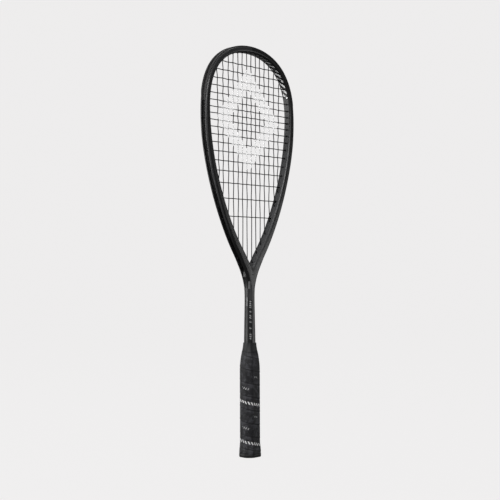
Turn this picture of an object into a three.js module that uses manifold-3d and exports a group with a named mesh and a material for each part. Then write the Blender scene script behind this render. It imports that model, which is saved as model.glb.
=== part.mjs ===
// A squash racket, standing on its butt: +X across the face, +Y through it, +Z up to the head.
// The origin is the centre of the butt's flat end. Every length is in millimetres.
import * as THREE from "three";
import { mergeVertices } from "three/addons/utils/BufferGeometryUtils.js";
import Module from "manifold-3d";

const wasm = await Module();
wasm.setup();

// --- Driving dimensions: the whole racket ---
const OVERALL_LENGTH = 686;
const HEAD_WIDTH = 210.4;
const WIDEST_BELOW_TOP = 108.5;
const CLEARANCE = 0.3;

// --- Frame: two legs of one moulded carbon tube, joined in the shaft and parted by the head ---
const SHAFT_WIDTH_LOW = 16;
const SHAFT_WIDTH_HIGH = 14.1;
const SHAFT_DEPTH_LOW = 18.2;
const SHAFT_DEPTH_HIGH = 16.8;
const SHAFT_CORNER = 6;
const SHAFT_FOOT_Z = 9;
const SHAFT_TAPER_Z = 194.6;
const SHAFT_NECK_Z = 258.6;
const THROAT_X = 27.5;
const THROAT_Z = 345.7;
const THROAT_LENGTH = 75.3;
const THROAT_ANGLE = THREE.MathUtils.degToRad(33.8);
const THROAT_REACH = 7.1;
const HOOP_WIDTH = 9.2;
const SIDE_REACH = 6.4;
const BEAM_DEPTH = 16.8;
const HOOP_CORNER = 3.5;
const WALL = 1.3;
const GROOVE_WIDTH = 7.6;
const GROOVE_DEPTH = 2.8;
const GROOVE_RUN_OUT = 43.8;
const GROOVE_RUN_IN = 9;

// --- Strings and the holes that they pass through ---
const STRING_DIAMETER = 1.3;
const MAIN_SPACINGS = [5.2, 10.3, 10.15, 10.85, 11.2, 12.1, 13.2];
const CROSS_DROPS = [
  32.2, 46.4, 60.7, 73.5, 85.8, 97.6, 108.5, 119.1, 129.7, 141.1, 153, 165.8, 179.9, 195.1, 211.2, 230.9, 256.1, 285.3,
];
const WEAVE_GAP = 0.3;
const LOOP_OFFSET = 1.6;
const HOLE_LEAN = 0.35;
const OUTER_MAIN_SPLAY = 4;
const TAIL_LENGTH = 0.5;

// --- Grommets, their strips and the bumper guard ---
const BARREL_WALL = 0.45;
const BARREL_STAND = 1.2;
const STRIP_THICKNESS = 1;
const BUMPER_PROUD = 1.6;
const BUMPER_WIDTH = 12.2;
const BUMPER_SLOT = 5;
const BUMPER_TIP = 14;
const BUMPER_DROP = 102.5;
const STRIP_STOP = 16.2;
const GROMMET_HEAD = 6;
const BUMPER_STEPS = 28;

// --- Handle ---
const GRIP_WIDTH = 33;
const GRIP_DEPTH = 29.7;
const GRIP_FLAT_X = 18.1;
const GRIP_FLAT_Y = 14.9;
const GRIP_THICKNESS = 1.8;
const GRIP_START_Z = 6;
const GRIP_END_Z = 175;
const COLLAR_END_Z = 190.5;
const COLLAR_LIP = 0.9;
const PALLET_END_Z = 170;
const CAP_HEIGHT = 31;
const CAP_WALL = 1.3;
const CAP_FLOOR = 3;
const FLARE = 1.9;
const FLARE_START_Z = 25;
const RIM_CHAMFER = 0.9;
const BADGE_WIDTH = 22;
const BADGE_DEPTH = 19;
const BADGE_THICKNESS = 0.8;
const BADGE_SINK = 0.15;
const STAPLE_SPAN = 9;
const STAPLE_WIRE = 0.6;
const STAPLE_LEG = 2.8;
const STAPLE_Z = 28;

// --- Derived sizes ---
const STRING_R = STRING_DIAMETER / 2;
const WEAVE_HEIGHT = STRING_R + WEAVE_GAP / 2;
const BORE_R = STRING_R + CLEARANCE;
const TIE_OFFSET = STRING_R + 0.2;
const TIE_BORE_R = TIE_OFFSET + STRING_R + CLEARANCE;
const STRIP_FLOOR = -GROOVE_DEPTH + CLEARANCE;
const STRIP_TOP = STRIP_FLOOR + STRIP_THICKNESS;
const LOOP_LEVEL = STRIP_TOP + CLEARANCE + STRING_R;
const HOOP_TOP_Z = OVERALL_LENGTH - BUMPER_PROUD - HOOP_WIDTH / 2;
const HOOP_HALF = HEAD_WIDTH / 2 - SIDE_REACH;
const WIDEST_Z = OVERALL_LENGTH - WIDEST_BELOW_TOP;
const LEG_SPLIT_Z = THROAT_Z - THROAT_LENGTH;
const BUMPER_END_Z = OVERALL_LENGTH - BUMPER_DROP;
const SIDE_STRIP_END_Z = THROAT_Z - STRIP_STOP;
const CROSS_HEIGHTS = CROSS_DROPS.map((drop) => OVERALL_LENGTH - drop);
const LEG_X = SHAFT_WIDTH_HIGH / 4;
const STRING_SIDES = 5;
const BARREL_SIDES = 6;

// --- Materials ---
const finish = (color, roughness, metalness = 0) =>
  new THREE.MeshStandardMaterial({ color, roughness, metalness });
const MATERIALS = {
  carbon: finish(0x2b2b2d, 0.45, 0.1),
  bumper: finish(0x131314, 0.6),
  grommet: finish(0x0e0e0f, 0.55),
  string: finish(0x1d1d1f, 0.35),
  foam: finish(0x8b8678, 0.9),
  cap: finish(0x121213, 0.6),
  badge: finish(0x3a3a3d, 0.4),
  steel: finish(0x9b9da1, 0.35, 0.9),
  grip: finish(0x19191c, 0.8),
  collar: finish(0x161617, 0.5),
};

// --- Solids ---

/** A closed geometry as a manifold solid. */
function toSolid(geometry) {
  const bare = geometry.index ? geometry.toNonIndexed() : geometry.clone();
  for (const name of ["normal", "uv"]) bare.deleteAttribute(name);
  const merged = mergeVertices(bare, 1e-4);
  return new wasm.Manifold(
    new wasm.Mesh({
      numProp: 3,
      vertProperties: merged.attributes.position.array,
      triVerts: new Uint32Array(merged.index.array),
    }),
  );
}

/** A manifold solid as a geometry with flat-shaded normals. */
function toGeometry(solid) {
  const mesh = solid.getMesh();
  const geometry = new THREE.BufferGeometry();
  geometry.setAttribute("position", new THREE.BufferAttribute(mesh.vertProperties, 3));
  geometry.setIndex(new THREE.BufferAttribute(mesh.triVerts, 1));
  geometry.computeVertexNormals();
  return geometry;
}

/**
 * Skins equal rings of points in order and fills both ends with rungs from side to side.
 * A ring runs up one side of its section and down the other, so that each rung stays inside it.
 */
function loft(rings) {
  const size = rings[0].length;
  const last = (rings.length - 1) * size;
  const position = rings.flat().flatMap((p) => [p.x, p.y, p.z]);
  const index = [];
  for (let r = 0; r + 1 < rings.length; r++) {
    for (let i = 0; i < size; i++) {
      const a = r * size + i;
      const b = r * size + ((i + 1) % size);
      index.push(a, b, b + size, a, b + size, a + size);
    }
  }
  for (let i = 0; i < size / 2 - 1; i++) {
    const [a, b, c, d] = [i, i + 1, size - 2 - i, size - 1 - i];
    const faces = b === c ? [[a, c, d]] : [[a, b, c], [a, c, d]];
    for (const face of faces) index.push(...[...face].reverse(), ...face.map((k) => k + last));
  }
  const geometry = new THREE.BufferGeometry();
  geometry.setAttribute("position", new THREE.Float32BufferAttribute(position, 3));
  geometry.setIndex(index);
  return geometry;
}

/** The loft as a solid, whichever way round its rings run. */
function loftSolid(rings) {
  const solid = toSolid(loft(rings));
  return solid.volume() > 0 ? solid : toSolid(loft([...rings].reverse()));
}

/** A round rod between two points. */
function rod(from, to, radius, sides) {
  const length = from.distanceTo(to);
  const geometry = new THREE.CylinderGeometry(radius, radius, length, sides);
  const up = new THREE.Vector3(0, 1, 0);
  const along = to.clone().sub(from).normalize();
  const turn = new THREE.Quaternion().setFromUnitVectors(up, along);
  geometry.applyQuaternion(turn);
  const middle = from.clone().add(to).multiplyScalar(0.5);
  geometry.translate(middle.x, middle.y, middle.z);
  return toSolid(geometry);
}

/** A box between two corners. */
function box(low, high) {
  const size = high.clone().sub(low);
  const middle = low.clone().add(high).multiplyScalar(0.5);
  const geometry = new THREE.BoxGeometry(size.x, size.y, size.z);
  geometry.translate(middle.x, middle.y, middle.z);
  return toSolid(geometry);
}

/** A tube through every point, with mitred corners. */
function tube(points, radius, sides) {
  const ways = points.slice(1).map((p, i) => p.clone().sub(points[i]).normalize());
  let side = new THREE.Vector3(0, 1, 0);
  const rings = points.map((point, i) => {
    const before = ways[Math.max(i - 1, 0)];
    const after = ways[Math.min(i, ways.length - 1)];
    const along = before.clone().add(after).normalize();
    side = side.clone().addScaledVector(before, -side.dot(before)).normalize();
    const up = new THREE.Vector3().crossVectors(before, side);
    return Array.from({ length: sides }, (_, k) => {
      const angle = (2 * Math.PI * (k + 0.5)) / sides;
      const spoke = side.clone().multiplyScalar(radius * Math.cos(angle));
      spoke.addScaledVector(up, radius * Math.sin(angle));
      const slide = -spoke.dot(along) / before.dot(along);
      return point.clone().add(spoke).addScaledVector(before, slide);
    });
  });
  return loftSolid(rings);
}

// --- The frame's line and its section ---

/** Smooth interpolation through a short list of [height, value] pairs. */
function profile(pairs) {
  return (z) => {
    if (z <= pairs[0][0]) return pairs[0][1];
    if (z >= pairs.at(-1)[0]) return pairs.at(-1)[1];
    const i = pairs.findIndex(([height]) => height > z) - 1;
    const share = (z - pairs[i][0]) / (pairs[i + 1][0] - pairs[i][0]);
    return THREE.MathUtils.lerp(pairs[i][1], pairs[i + 1][1], share);
  };
}

const at = (x, z) => new THREE.Vector3(x, 0, z);
const throatPull = (length) =>
  at(THROAT_X - length * Math.sin(THROAT_ANGLE), THROAT_Z - length * Math.cos(THROAT_ANGLE));

// The centreline of the right leg, from its foot in the handle to the top of the head.
const LEG_LINE = [
  new THREE.LineCurve3(at(LEG_X, SHAFT_FOOT_Z), at(LEG_X, LEG_SPLIT_Z)),
  new THREE.CubicBezierCurve3(
    at(LEG_X, LEG_SPLIT_Z),
    at(LEG_X, LEG_SPLIT_Z + 29.5),
    throatPull(33.5),
    at(THROAT_X, THROAT_Z),
  ),
  new THREE.CubicBezierCurve3(
    at(THROAT_X, THROAT_Z),
    throatPull(-42.3),
    at(HOOP_HALF, WIDEST_Z - 0.44 * (WIDEST_Z - THROAT_Z)),
    at(HOOP_HALF, WIDEST_Z),
  ),
  new THREE.CubicBezierCurve3(
    at(HOOP_HALF, WIDEST_Z),
    at(HOOP_HALF, WIDEST_Z + 0.8 * (HOOP_TOP_Z - WIDEST_Z)),
    at(0.425 * HOOP_HALF, HOOP_TOP_Z),
    at(0, HOOP_TOP_Z),
  ),
];
const SHAFT = 0;
const HOOP = 2;
const TOP = LEG_LINE.length;

// How far the section reaches outwards and inwards from the centreline, by the height of the line.
const hoopHalf = HOOP_WIDTH / 2;
const outerReach = profile([
  [SHAFT_TAPER_Z, SHAFT_WIDTH_LOW / 2 - LEG_X],
  [SHAFT_NECK_Z, SHAFT_WIDTH_HIGH / 2 - LEG_X],
  [LEG_SPLIT_Z + 12.8, SHAFT_WIDTH_HIGH / 2 - LEG_X],
  [THROAT_Z - 51, THROAT_REACH - 2.4],
  [THROAT_Z - 36.5, THROAT_REACH - 1],
  [THROAT_Z - 18.7, THROAT_REACH + 0.3],
  [THROAT_Z, THROAT_REACH + 0.2],
  [THROAT_Z + 33.5, SIDE_REACH + 0.4],
  [THROAT_Z + 110, SIDE_REACH],
  [BUMPER_END_Z - 55, SIDE_REACH],
  [BUMPER_END_Z + 5, hoopHalf],
]);
const innerReach = profile([
  [LEG_SPLIT_Z, LEG_X + SHAFT_CORNER],
  [THROAT_Z - 41.3, THROAT_REACH + 4.5],
  [THROAT_Z - 34, THROAT_REACH + 2.85],
  [THROAT_Z - 26.6, THROAT_REACH + 1.2],
  [THROAT_Z - 18.7, THROAT_REACH],
  [THROAT_Z, THROAT_REACH - 1.1],
  [THROAT_Z + 33.5, hoopHalf + 0.7],
  [THROAT_Z + 110, hoopHalf],
]);
const depthAt = profile([
  [SHAFT_TAPER_Z, SHAFT_DEPTH_LOW],
  [SHAFT_NECK_Z, SHAFT_DEPTH_HIGH],
  [THROAT_Z - 37.4, BEAM_DEPTH],
]);
const cornerAt = profile([
  [LEG_SPLIT_Z, SHAFT_CORNER],
  [THROAT_Z - 27.6, HOOP_CORNER],
]);
const grooveAt = profile([
  [THROAT_Z - GROOVE_RUN_OUT, -CLEARANCE],
  [THROAT_Z - GROOVE_RUN_OUT + GROOVE_RUN_IN, GROOVE_DEPTH],
]);

/** The frame at one place: part is a whole number for the curve plus a share of it, side is 1 or -1. */
function station(place, side = 1) {
  const piece = Math.min(Math.floor(place), TOP - 1);
  const share = place - piece;
  const centre = LEG_LINE[piece].getPoint(share);
  const along = LEG_LINE[piece].getTangent(share);
  const out = new THREE.Vector3(along.z * side, 0, -along.x);
  const z = centre.z;
  centre.x *= side;
  return {
    centre,
    out,
    side,
    outer: outerReach(z),
    inner: innerReach(z),
    depth: depthAt(z),
    corner: cornerAt(z),
    groove: grooveAt(z),
  };
}

/** A point of a station: across is measured outwards from the centreline and deep along Y. */
const pointAt = (s, across, deep) =>
  new THREE.Vector3(s.centre.x + s.out.x * across, deep, s.centre.z + s.out.z * across);

/** The outline of the leg's section, as [across, deep] pairs. */
function legOutline(s, grow = 0) {
  const half = s.depth / 2 + grow;
  const outer = s.outer + grow;
  const inner = s.inner + grow;
  const radius = Math.min(s.corner, (outer + inner) / 2);
  const cut = radius * (1 - Math.SQRT1_2);
  const edge = [
    [-inner, half - radius],
    [-inner + cut, half - cut],
    [-inner + radius, half],
    [outer - radius, half],
    [outer - cut, half - cut],
    [outer, half - radius],
  ];
  return [...edge, ...edge.map(([a, d]) => [a, -d]).reverse()];
}

/** The outline of the hollow inside the leg. */
function hollowOutline(s) {
  const half = s.depth / 2 - WALL;
  const outer = s.outer - s.groove - WALL;
  const inner = -(s.inner - WALL);
  const cut = 0.45 * s.corner;
  const rib = [
    [inner, half - cut],
    [inner + cut, half],
    [outer - cut, half],
    [outer, half - cut],
  ];
  return [...rib, ...rib.map(([a, d]) => [a, -d]).reverse()];
}

/** Places along the right leg, with the given number of steps on each curve. */
function places(steps) {
  const found = steps.flatMap((count, piece) =>
    Array.from({ length: count }, (_, k) => piece + k / count),
  );
  return [...found, TOP];
}

/** The place on the leg whose centreline has the given height. */
function placeAtHeight(z) {
  let low = 1;
  let high = TOP;
  for (let k = 0; k < 40; k++) {
    const middle = (low + high) / 2;
    if (station(middle).centre.z < z) low = middle;
    else high = middle;
  }
  return low;
}

/** One ring of the right leg, held to the right of the plane x = least and ending flat on the middle. */
const legRing = (s, outline, least) =>
  outline.map(([across, deep]) => {
    const p = pointAt(s, across, deep);
    return p.setX(s.centre.x > 0 ? Math.max(p.x, least) : 0);
  });

/** A right-hand solid together with its mirror image on the left. */
const bothSides = (solid) => solid.add(solid.mirror([1, 0, 0]));

// --- Strings: where each one meets the frame ---

/** The place where the grommets' mouths, the string's kinks, reach a given x or z. */
function placeWhere(axis, value, low, high) {
  const read = (place) => kinkOf(station(place))[axis];
  const rising = read(high) > read(low);
  for (let k = 0; k < 40; k++) {
    const middle = (low + high) / 2;
    if (read(middle) < value === rising) low = middle;
    else high = middle;
  }
  return (low + high) / 2;
}

const KINK_STAND = BARREL_STAND + 0.5;
const kinkOf = (s) => pointAt(s, -(s.inner + KINK_STAND), 0);

/** A hole for one string end: where it is, which way it leans and whether it holds a tie-off. */
function makeHole(place, side, pull, tie = false) {
  const s = station(place, side);
  const lean = s.out.clone().addScaledVector(pull, HOLE_LEAN).normalize();
  const kink = kinkOf(s);
  const toLevel = (level) => (s.inner + KINK_STAND + s.outer + level) / lean.dot(s.out);
  return {
    place,
    side,
    tie,
    lean,
    kink,
    mouth: kink.clone().addScaledVector(lean, 0.5),
    seat: kink.clone().addScaledVector(lean, toLevel((STRIP_FLOOR + STRIP_TOP) / 2)),
    turn: kink.clone().addScaledVector(lean, toLevel(LOOP_LEVEL)),
    far: kink.clone().addScaledVector(lean, toLevel(2 * BUMPER_PROUD)),
    height: s.centre.z,
    bore: tie ? TIE_BORE_R : BORE_R,
  };
}

const mainXs = MAIN_SPACINGS.map((_, i) => MAIN_SPACINGS.slice(0, i + 1).reduce((a, b) => a + b, 0));
const MAIN_TIE_TOP = 5;
const MAIN_TIE_FOOT = 4;
const CROSS_TIE = 16;
const UP = new THREE.Vector3(0, 0, 1);
const DOWN = new THREE.Vector3(0, 0, -1);
const sideways = (side) => new THREE.Vector3(side, 0, 0);

/** Each main string from left to right, with its holes; the outermost ones splay towards the head. */
const mains = [-1, 1].flatMap((side) => {
  const half = mainXs.map((x, i) => {
    const splay = i === mainXs.length - 1 ? OUTER_MAIN_SPLAY : 0;
    const foot = placeWhere("x", x - splay, 1.2, HOOP + 1);
    const head = placeWhere("x", x, HOOP + 1, TOP);
    return {
      foot: makeHole(foot, side, DOWN, side < 0 && i === MAIN_TIE_FOOT),
      head: makeHole(head, side, UP, side < 0 && i === MAIN_TIE_TOP),
    };
  });
  return side < 0 ? half.reverse() : half;
});

/** Where a main string crosses a given height. */
function mainX(main, z) {
  const share = (z - main.foot.kink.z) / (main.head.kink.z - main.foot.kink.z);
  return THREE.MathUtils.lerp(main.foot.kink.x, main.head.kink.x, share);
}

/** Each cross string from the top down, with its left and right holes. */
const crosses = CROSS_HEIGHTS.map((z, j) => {
  const place = placeWhere("z", z, 1.5, TOP);
  const hole = (side) => makeHole(place, side, sideways(side), j === CROSS_TIE);
  return { z, left: hole(-1), right: hole(1) };
});

const holes = [...mains.flatMap((m) => [m.foot, m.head]), ...crosses.flatMap((c) => [c.left, c.right])];

/** Whether main string i passes in front of cross string j. */
const mainInFront = (i, j) => (i + j) % 2 === 0;

/** Points of a loop in the outer groove between two holes, kept to one side of the middle. */
function loopPoints(from, to, offset) {
  const count = Math.max(2, Math.round(from.turn.distanceTo(to.turn) / 6));
  const whole = (hole) => (hole.side < 0 ? 2 * TOP - hole.place : hole.place);
  const start = whole(from);
  const end = whole(to);
  return Array.from({ length: count }, (_, k) => {
    const share = (k + 1) / (count + 1);
    const along = THREE.MathUtils.lerp(start, end, share);
    const s = along > TOP ? station(2 * TOP - along, -1) : station(along, 1);
    return pointAt(s, s.outer + LOOP_LEVEL, offset);
  });
}

/** A hole's kink and turn, shifted through Y where two strings share the hole. */
function through(hole, shift) {
  const deep = hole.tie ? shift : 0;
  return [hole.kink, hole.turn].map((p) => new THREE.Vector3(p.x, deep, p.z));
}

/** The cut end of a string, brought back in beside the host string of a tie-off hole. */
function tieOff(hole, shift) {
  const [kink, turn] = through(hole, shift);
  const tail = kink.clone().addScaledVector(hole.lean, -TAIL_LENGTH);
  return [turn, kink, tail];
}

/** The route of the string that makes all the mains. */
function mainRoute() {
  const route = [];
  const shift = TIE_OFFSET;
  mains.forEach((main, i) => {
    const crossings = crosses
      .map((cross, j) => ({ z: cross.z, j }))
      .filter(({ z }) => z > main.foot.kink.z + 1.5 && z < main.head.kink.z - 1.5)
      .map(({ z, j }) => new THREE.Vector3(mainX(main, z), WEAVE_HEIGHT * (mainInFront(i, j) ? -1 : 1), z))
      .reverse();
    const run = [through(main.foot, shift)[0], ...crossings, through(main.head, shift)[0]];
    const rising = i % 2 === 0;
    const [first, last] = rising ? [main.foot, main.head] : [main.head, main.foot];
    route.push(through(first, shift)[1], ...(rising ? run : run.reverse()), through(last, shift)[1]);
    const next = mains[i + 1];
    if (next) route.push(...loopPoints(last, rising ? next.head : next.foot, LOOP_OFFSET));
  });
  const start = crosses[CROSS_TIE].left;
  const end = crosses[CROSS_TIE].right;
  const before = [...loopPoints(mains[0].foot, start, LOOP_OFFSET), ...tieOff(start, shift)];
  const after = [...loopPoints(mains.at(-1).foot, end, LOOP_OFFSET), ...tieOff(end, shift)];
  return [...before.reverse(), ...route, ...after];
}

/** The route of the string that makes all the crosses. */
function crossRoute() {
  const route = [];
  const shift = -TIE_OFFSET;
  crosses.forEach((cross, j) => {
    const crossings = mains
      .map((main, i) => ({ x: mainX(main, cross.z), i }))
      .filter(({ x }) => x > cross.left.kink.x + 0.8 && x < cross.right.kink.x - 0.8)
      .map(({ x, i }) => new THREE.Vector3(x, WEAVE_HEIGHT * (mainInFront(i, j) ? 1 : -1), cross.z));
    const run = [through(cross.left, shift)[0], ...crossings, through(cross.right, shift)[0]];
    const rightward = j % 2 === 0;
    const [first, last] = rightward ? [cross.left, cross.right] : [cross.right, cross.left];
    route.push(through(first, shift)[1], ...(rightward ? run : run.reverse()), through(last, shift)[1]);
    const next = crosses[j + 1];
    if (next) route.push(...loopPoints(last, rightward ? next.right : next.left, -LOOP_OFFSET));
  });
  const start = mains[mainXs.length - 1 - MAIN_TIE_TOP].head;
  const end = mains[mainXs.length - 1 - MAIN_TIE_FOOT].foot;
  const before = [...loopPoints(crosses[0].left, start, -LOOP_OFFSET), ...tieOff(start, shift)];
  const after = [...loopPoints(crosses.at(-1).left, end, -LOOP_OFFSET), ...tieOff(end, shift)];
  return [...before.reverse(), ...route, ...after];
}

// --- The frame ---

/** The rings of the right leg at the given places. */
const legRings = (where, outlineAt, least) =>
  where.map((place) => {
    const s = station(place);
    return legRing(s, outlineAt(s), s.centre.z < THROAT_Z ? least : 0);
  });

/** The outline that cuts the string groove into the outer face. */
const grooveOutline = (s) => {
  const lip = GROOVE_WIDTH / 2;
  const floor = s.outer - s.groove;
  const air = s.outer + GROOVE_DEPTH;
  return [[floor, lip], [air, lip], [air, -lip], [floor, -lip]];
};

function makeFrame() {
  const skinPlaces = places([3, 9, 11, 12]);
  const hollowPlaces = places([1, 9, 11, 12]);
  const grooveStart = placeAtHeight(THROAT_Z - GROOVE_RUN_OUT);
  const groovePlaces = [grooveStart, ...skinPlaces.filter((place) => place > grooveStart)];
  const skin = legRings(skinPlaces, legOutline, 0);
  const hollow = legRings(hollowPlaces, hollowOutline, WALL);
  const mouth = hollow[0].map((p) => p.clone().setZ(SHAFT_FOOT_Z - 1));
  const groove = legRings(groovePlaces, grooveOutline, 0);
  const drills = holes.map((hole) => {
    const radius = hole.bore + BARREL_WALL + CLEARANCE;
    const start = hole.kink.clone().addScaledVector(hole.lean, -1);
    return rod(start, hole.far, radius, BARREL_SIDES);
  });
  return bothSides(loftSolid(skin))
    .subtract(bothSides(loftSolid([mouth, ...hollow])))
    .subtract(bothSides(loftSolid(groove)))
    .subtract(wasm.Manifold.union(drills));
}

// --- Grommet strips, single grommets and the bumper guard ---

/** A strip swept along the groove between two places, each up to 2 * TOP when it runs over the head. */
function grooveSweep(from, to, count, outlineAt) {
  const rings = Array.from({ length: count + 1 }, (_, k) => {
    const along = THREE.MathUtils.lerp(from, to, k / count);
    const s = along > TOP ? station(2 * TOP - along, -1) : station(along, 1);
    return outlineAt(k / count).map(([level, deep]) => pointAt(s, s.outer + level, deep));
  });
  return loftSolid(rings);
}

/** Adds the barrels of the given holes to a strip and bores them through. */
function withBarrels(strip, ownHoles) {
  const barrels = ownHoles.map((h) => rod(h.mouth, h.seat, h.bore + BARREL_WALL, BARREL_SIDES));
  const bores = ownHoles.map((h) => rod(h.kink, h.far, h.bore, BARREL_SIDES));
  return wasm.Manifold.union([strip, ...barrels]).subtract(wasm.Manifold.union(bores));
}

const stripHalf = GROOVE_WIDTH / 2 - CLEARANCE;
const stripOutline = [
  [STRIP_FLOOR, -stripHalf],
  [STRIP_FLOOR, stripHalf],
  [STRIP_TOP, stripHalf],
  [STRIP_TOP, -stripHalf],
];

/** The bumper's section, a foot in the groove and flanges over the frame, narrowed towards its tips. */
function bumperOutline(share, length) {
  const toTip = Math.min(share, 1 - share) * length;
  const spread = THREE.MathUtils.clamp(toTip / BUMPER_TIP, 0, 1);
  const flange = THREE.MathUtils.lerp(stripHalf + 0.2, BUMPER_WIDTH / 2, spread);
  const proud = THREE.MathUtils.lerp(CLEARANCE + 0.3, BUMPER_PROUD, spread);
  const edge = [
    [STRIP_FLOOR, stripHalf],
    [CLEARANCE, stripHalf],
    [CLEARANCE + 0.01, flange],
    [(CLEARANCE + proud) / 2, flange],
    [proud, (BUMPER_SLOT / 2 + flange) / 2 + 0.4],
  ];
  return [...edge, ...edge.map(([level, deep]) => [level, -deep]).reverse()];
}

const bumperStart = placeAtHeight(BUMPER_END_Z);
const stripStart = placeAtHeight(SIDE_STRIP_END_Z);

function makeBumper() {
  const rise = HOOP_TOP_Z - BUMPER_END_Z;
  const length = Math.PI * Math.hypot(HOOP_HALF, rise) * Math.SQRT1_2;
  const end = 2 * TOP - bumperStart;
  const guard = grooveSweep(bumperStart, end, BUMPER_STEPS, (share) => bumperOutline(share, length));
  const step = (end - bumperStart) / BUMPER_STEPS;
  const half = BUMPER_SLOT / 2;
  const slot = [[STRIP_TOP, half], [2 * BUMPER_PROUD, half], [2 * BUMPER_PROUD, -half], [STRIP_TOP, -half]];
  const cutter = grooveSweep(bumperStart - step, end + step, BUMPER_STEPS + 2, () => slot);
  return withBarrels(guard.subtract(cutter), holes.filter((h) => h.place > bumperStart));
}

function makeSideStrip(side) {
  const strip = grooveSweep(stripStart, bumperStart - 0.012, 18, () => stripOutline);
  const own = holes.filter((h) => h.side === side && h.place < bumperStart && h.place > stripStart);
  return withBarrels(side > 0 ? strip : strip.mirror([1, 0, 0]), own);
}

function makeThroatGrommet(side) {
  const hole = holes.find((h) => h.side === side && h.place < stripStart);
  const reach = GROMMET_HEAD / 2 / LEG_LINE[1].getLength();
  const centre = placeAtHeight(hole.turn.z + (hole.turn.x * side - station(hole.place).centre.x) * 0.55);
  const head = grooveSweep(centre - reach, centre + reach, 1, () => stripOutline);
  return withBarrels(side > 0 ? head : head.mirror([1, 0, 0]), [hole]);
}

// --- Handle ---

/** An eight-sided ring at height z, grown evenly from the grip's outer size. */
function handleRing(z, grow, scale = 1) {
  const halfX = (GRIP_WIDTH / 2) * scale + grow;
  const halfY = (GRIP_DEPTH / 2) * scale + grow;
  const edge = grow * Math.tan(Math.PI / 8);
  const flatX = (GRIP_FLAT_X / 2) * scale + edge;
  const flatY = (GRIP_FLAT_Y / 2) * scale + edge;
  const corners = [
    [halfX, -flatY],
    [halfX, flatY],
    [flatX, halfY],
    [-flatX, halfY],
    [-halfX, flatY],
    [-halfX, -flatY],
    [-flatX, -halfY],
    [flatX, -halfY],
  ];
  return corners.map(([x, y]) => new THREE.Vector3(x, y, z));
}

/** A solid from [height, grow, scale] rows. */
const handleSolid = (rows) => loftSolid(rows.map(([z, grow, scale]) => handleRing(z, grow, scale)));

// The shoulder's size at each height, as a share of the grip's full size.
const SHOULDER_ROWS = [
  [GRIP_END_Z - 26.6, 1],
  [GRIP_END_Z - 20.7, 0.978],
  [GRIP_END_Z - 13.8, 0.935],
  [GRIP_END_Z - 6.9, 0.88],
];
const shoulder = profile([...SHOULDER_ROWS, [GRIP_END_Z, 0.8]]);
const SHOULDER_STEPS = SHOULDER_ROWS.map(([z]) => z);
const gripLining = GRIP_THICKNESS + CLEARANCE;
const flareRows = (grow) => [
  [GRIP_START_Z, FLARE + grow, 1],
  [0.44 * FLARE_START_Z, 0.96 * FLARE + grow, 1],
  [0.7 * FLARE_START_Z, 0.42 * FLARE + grow, 1],
  [FLARE_START_Z, grow, 1],
];

/** The shaft's outline at a height, grown by a clearance, as a ring of points. */
function shaftRing(z, grow) {
  const s = station(SHAFT);
  s.outer = outerReach(z);
  s.depth = depthAt(z);
  const right = legOutline(s, grow)
    .filter(([across]) => across > -s.inner + s.corner)
    .map(([across, deep]) => new THREE.Vector3(s.centre.x + across, deep, z));
  const left = right.map((p) => new THREE.Vector3(-p.x, p.y, z)).reverse();
  return [...right, ...left];
}

const shaftCutter = (low, high) =>
  loftSolid([low, SHAFT_TAPER_Z - 1, high].filter((z, i) => i !== 1 || high > z).map((z) => shaftRing(z, CLEARANCE)));

function makePalletHalf(side) {
  const step = gripLining + CAP_WALL + CLEARANCE;
  const shoulderRows = [...SHOULDER_STEPS, PALLET_END_Z].map((z) => [z, -gripLining, shoulder(z)]);
  const whole = handleSolid([
    [CAP_FLOOR + CLEARANCE, -step, 1],
    [CAP_HEIGHT + CLEARANCE, -step, 1],
    [CAP_HEIGHT + CLEARANCE + 0.01, -gripLining, 1],
    ...shoulderRows,
  ]);
  const reach = GRIP_WIDTH;
  const half = box(
    new THREE.Vector3(-reach, side > 0 ? CLEARANCE / 2 : -reach, 0),
    new THREE.Vector3(reach, side > 0 ? reach : -CLEARANCE / 2, PALLET_END_Z + 1),
  );
  const bed = shaftCutter(SHAFT_FOOT_Z - CLEARANCE, PALLET_END_Z + 1);
  return whole.subtract(bed).intersect(half).subtract(stapleSlot(side));
}

function makeButtCap() {
  const shell = handleSolid([
    [0, FLARE - RIM_CHAMFER, 1],
    [RIM_CHAMFER, FLARE, 1],
    [GRIP_START_Z - CLEARANCE, FLARE, 1],
    [GRIP_START_Z - CLEARANCE + 0.01, FLARE - gripLining, 1],
    ...flareRows(-gripLining).slice(1),
    [CAP_HEIGHT, -gripLining, 1],
  ]);
  const inside = handleSolid([
    [CAP_FLOOR, -gripLining - CAP_WALL, 1],
    [CAP_HEIGHT + 1, -gripLining - CAP_WALL, 1],
  ]);
  const seat = badgeSolid(CLEARANCE, -1, BADGE_SINK + BADGE_THICKNESS + CLEARANCE);
  const slots = stapleSlot(1).add(stapleSlot(-1));
  return shell.subtract(inside).subtract(seat).subtract(slots);
}

/** The badge's eight-sided plate between two heights, grown by a clearance. */
function badgeSolid(grow, low, high) {
  const shape = new THREE.Vector2(BADGE_WIDTH / GRIP_WIDTH, BADGE_DEPTH / GRIP_DEPTH);
  const ring = (z) =>
    handleRing(z, 0).map((p) => {
      const wide = shape.x + (2 * grow) / GRIP_WIDTH;
      const deep = shape.y + (2 * grow) / GRIP_DEPTH;
      return new THREE.Vector3(p.x * wide, p.y * deep, z);
    });
  return loftSolid([ring(low), ring(high)]);
}

// A staple holds the cap to the pallet through each wide face: a crown in a recess and two legs.
const capFace = GRIP_DEPTH / 2 - gripLining;

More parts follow.
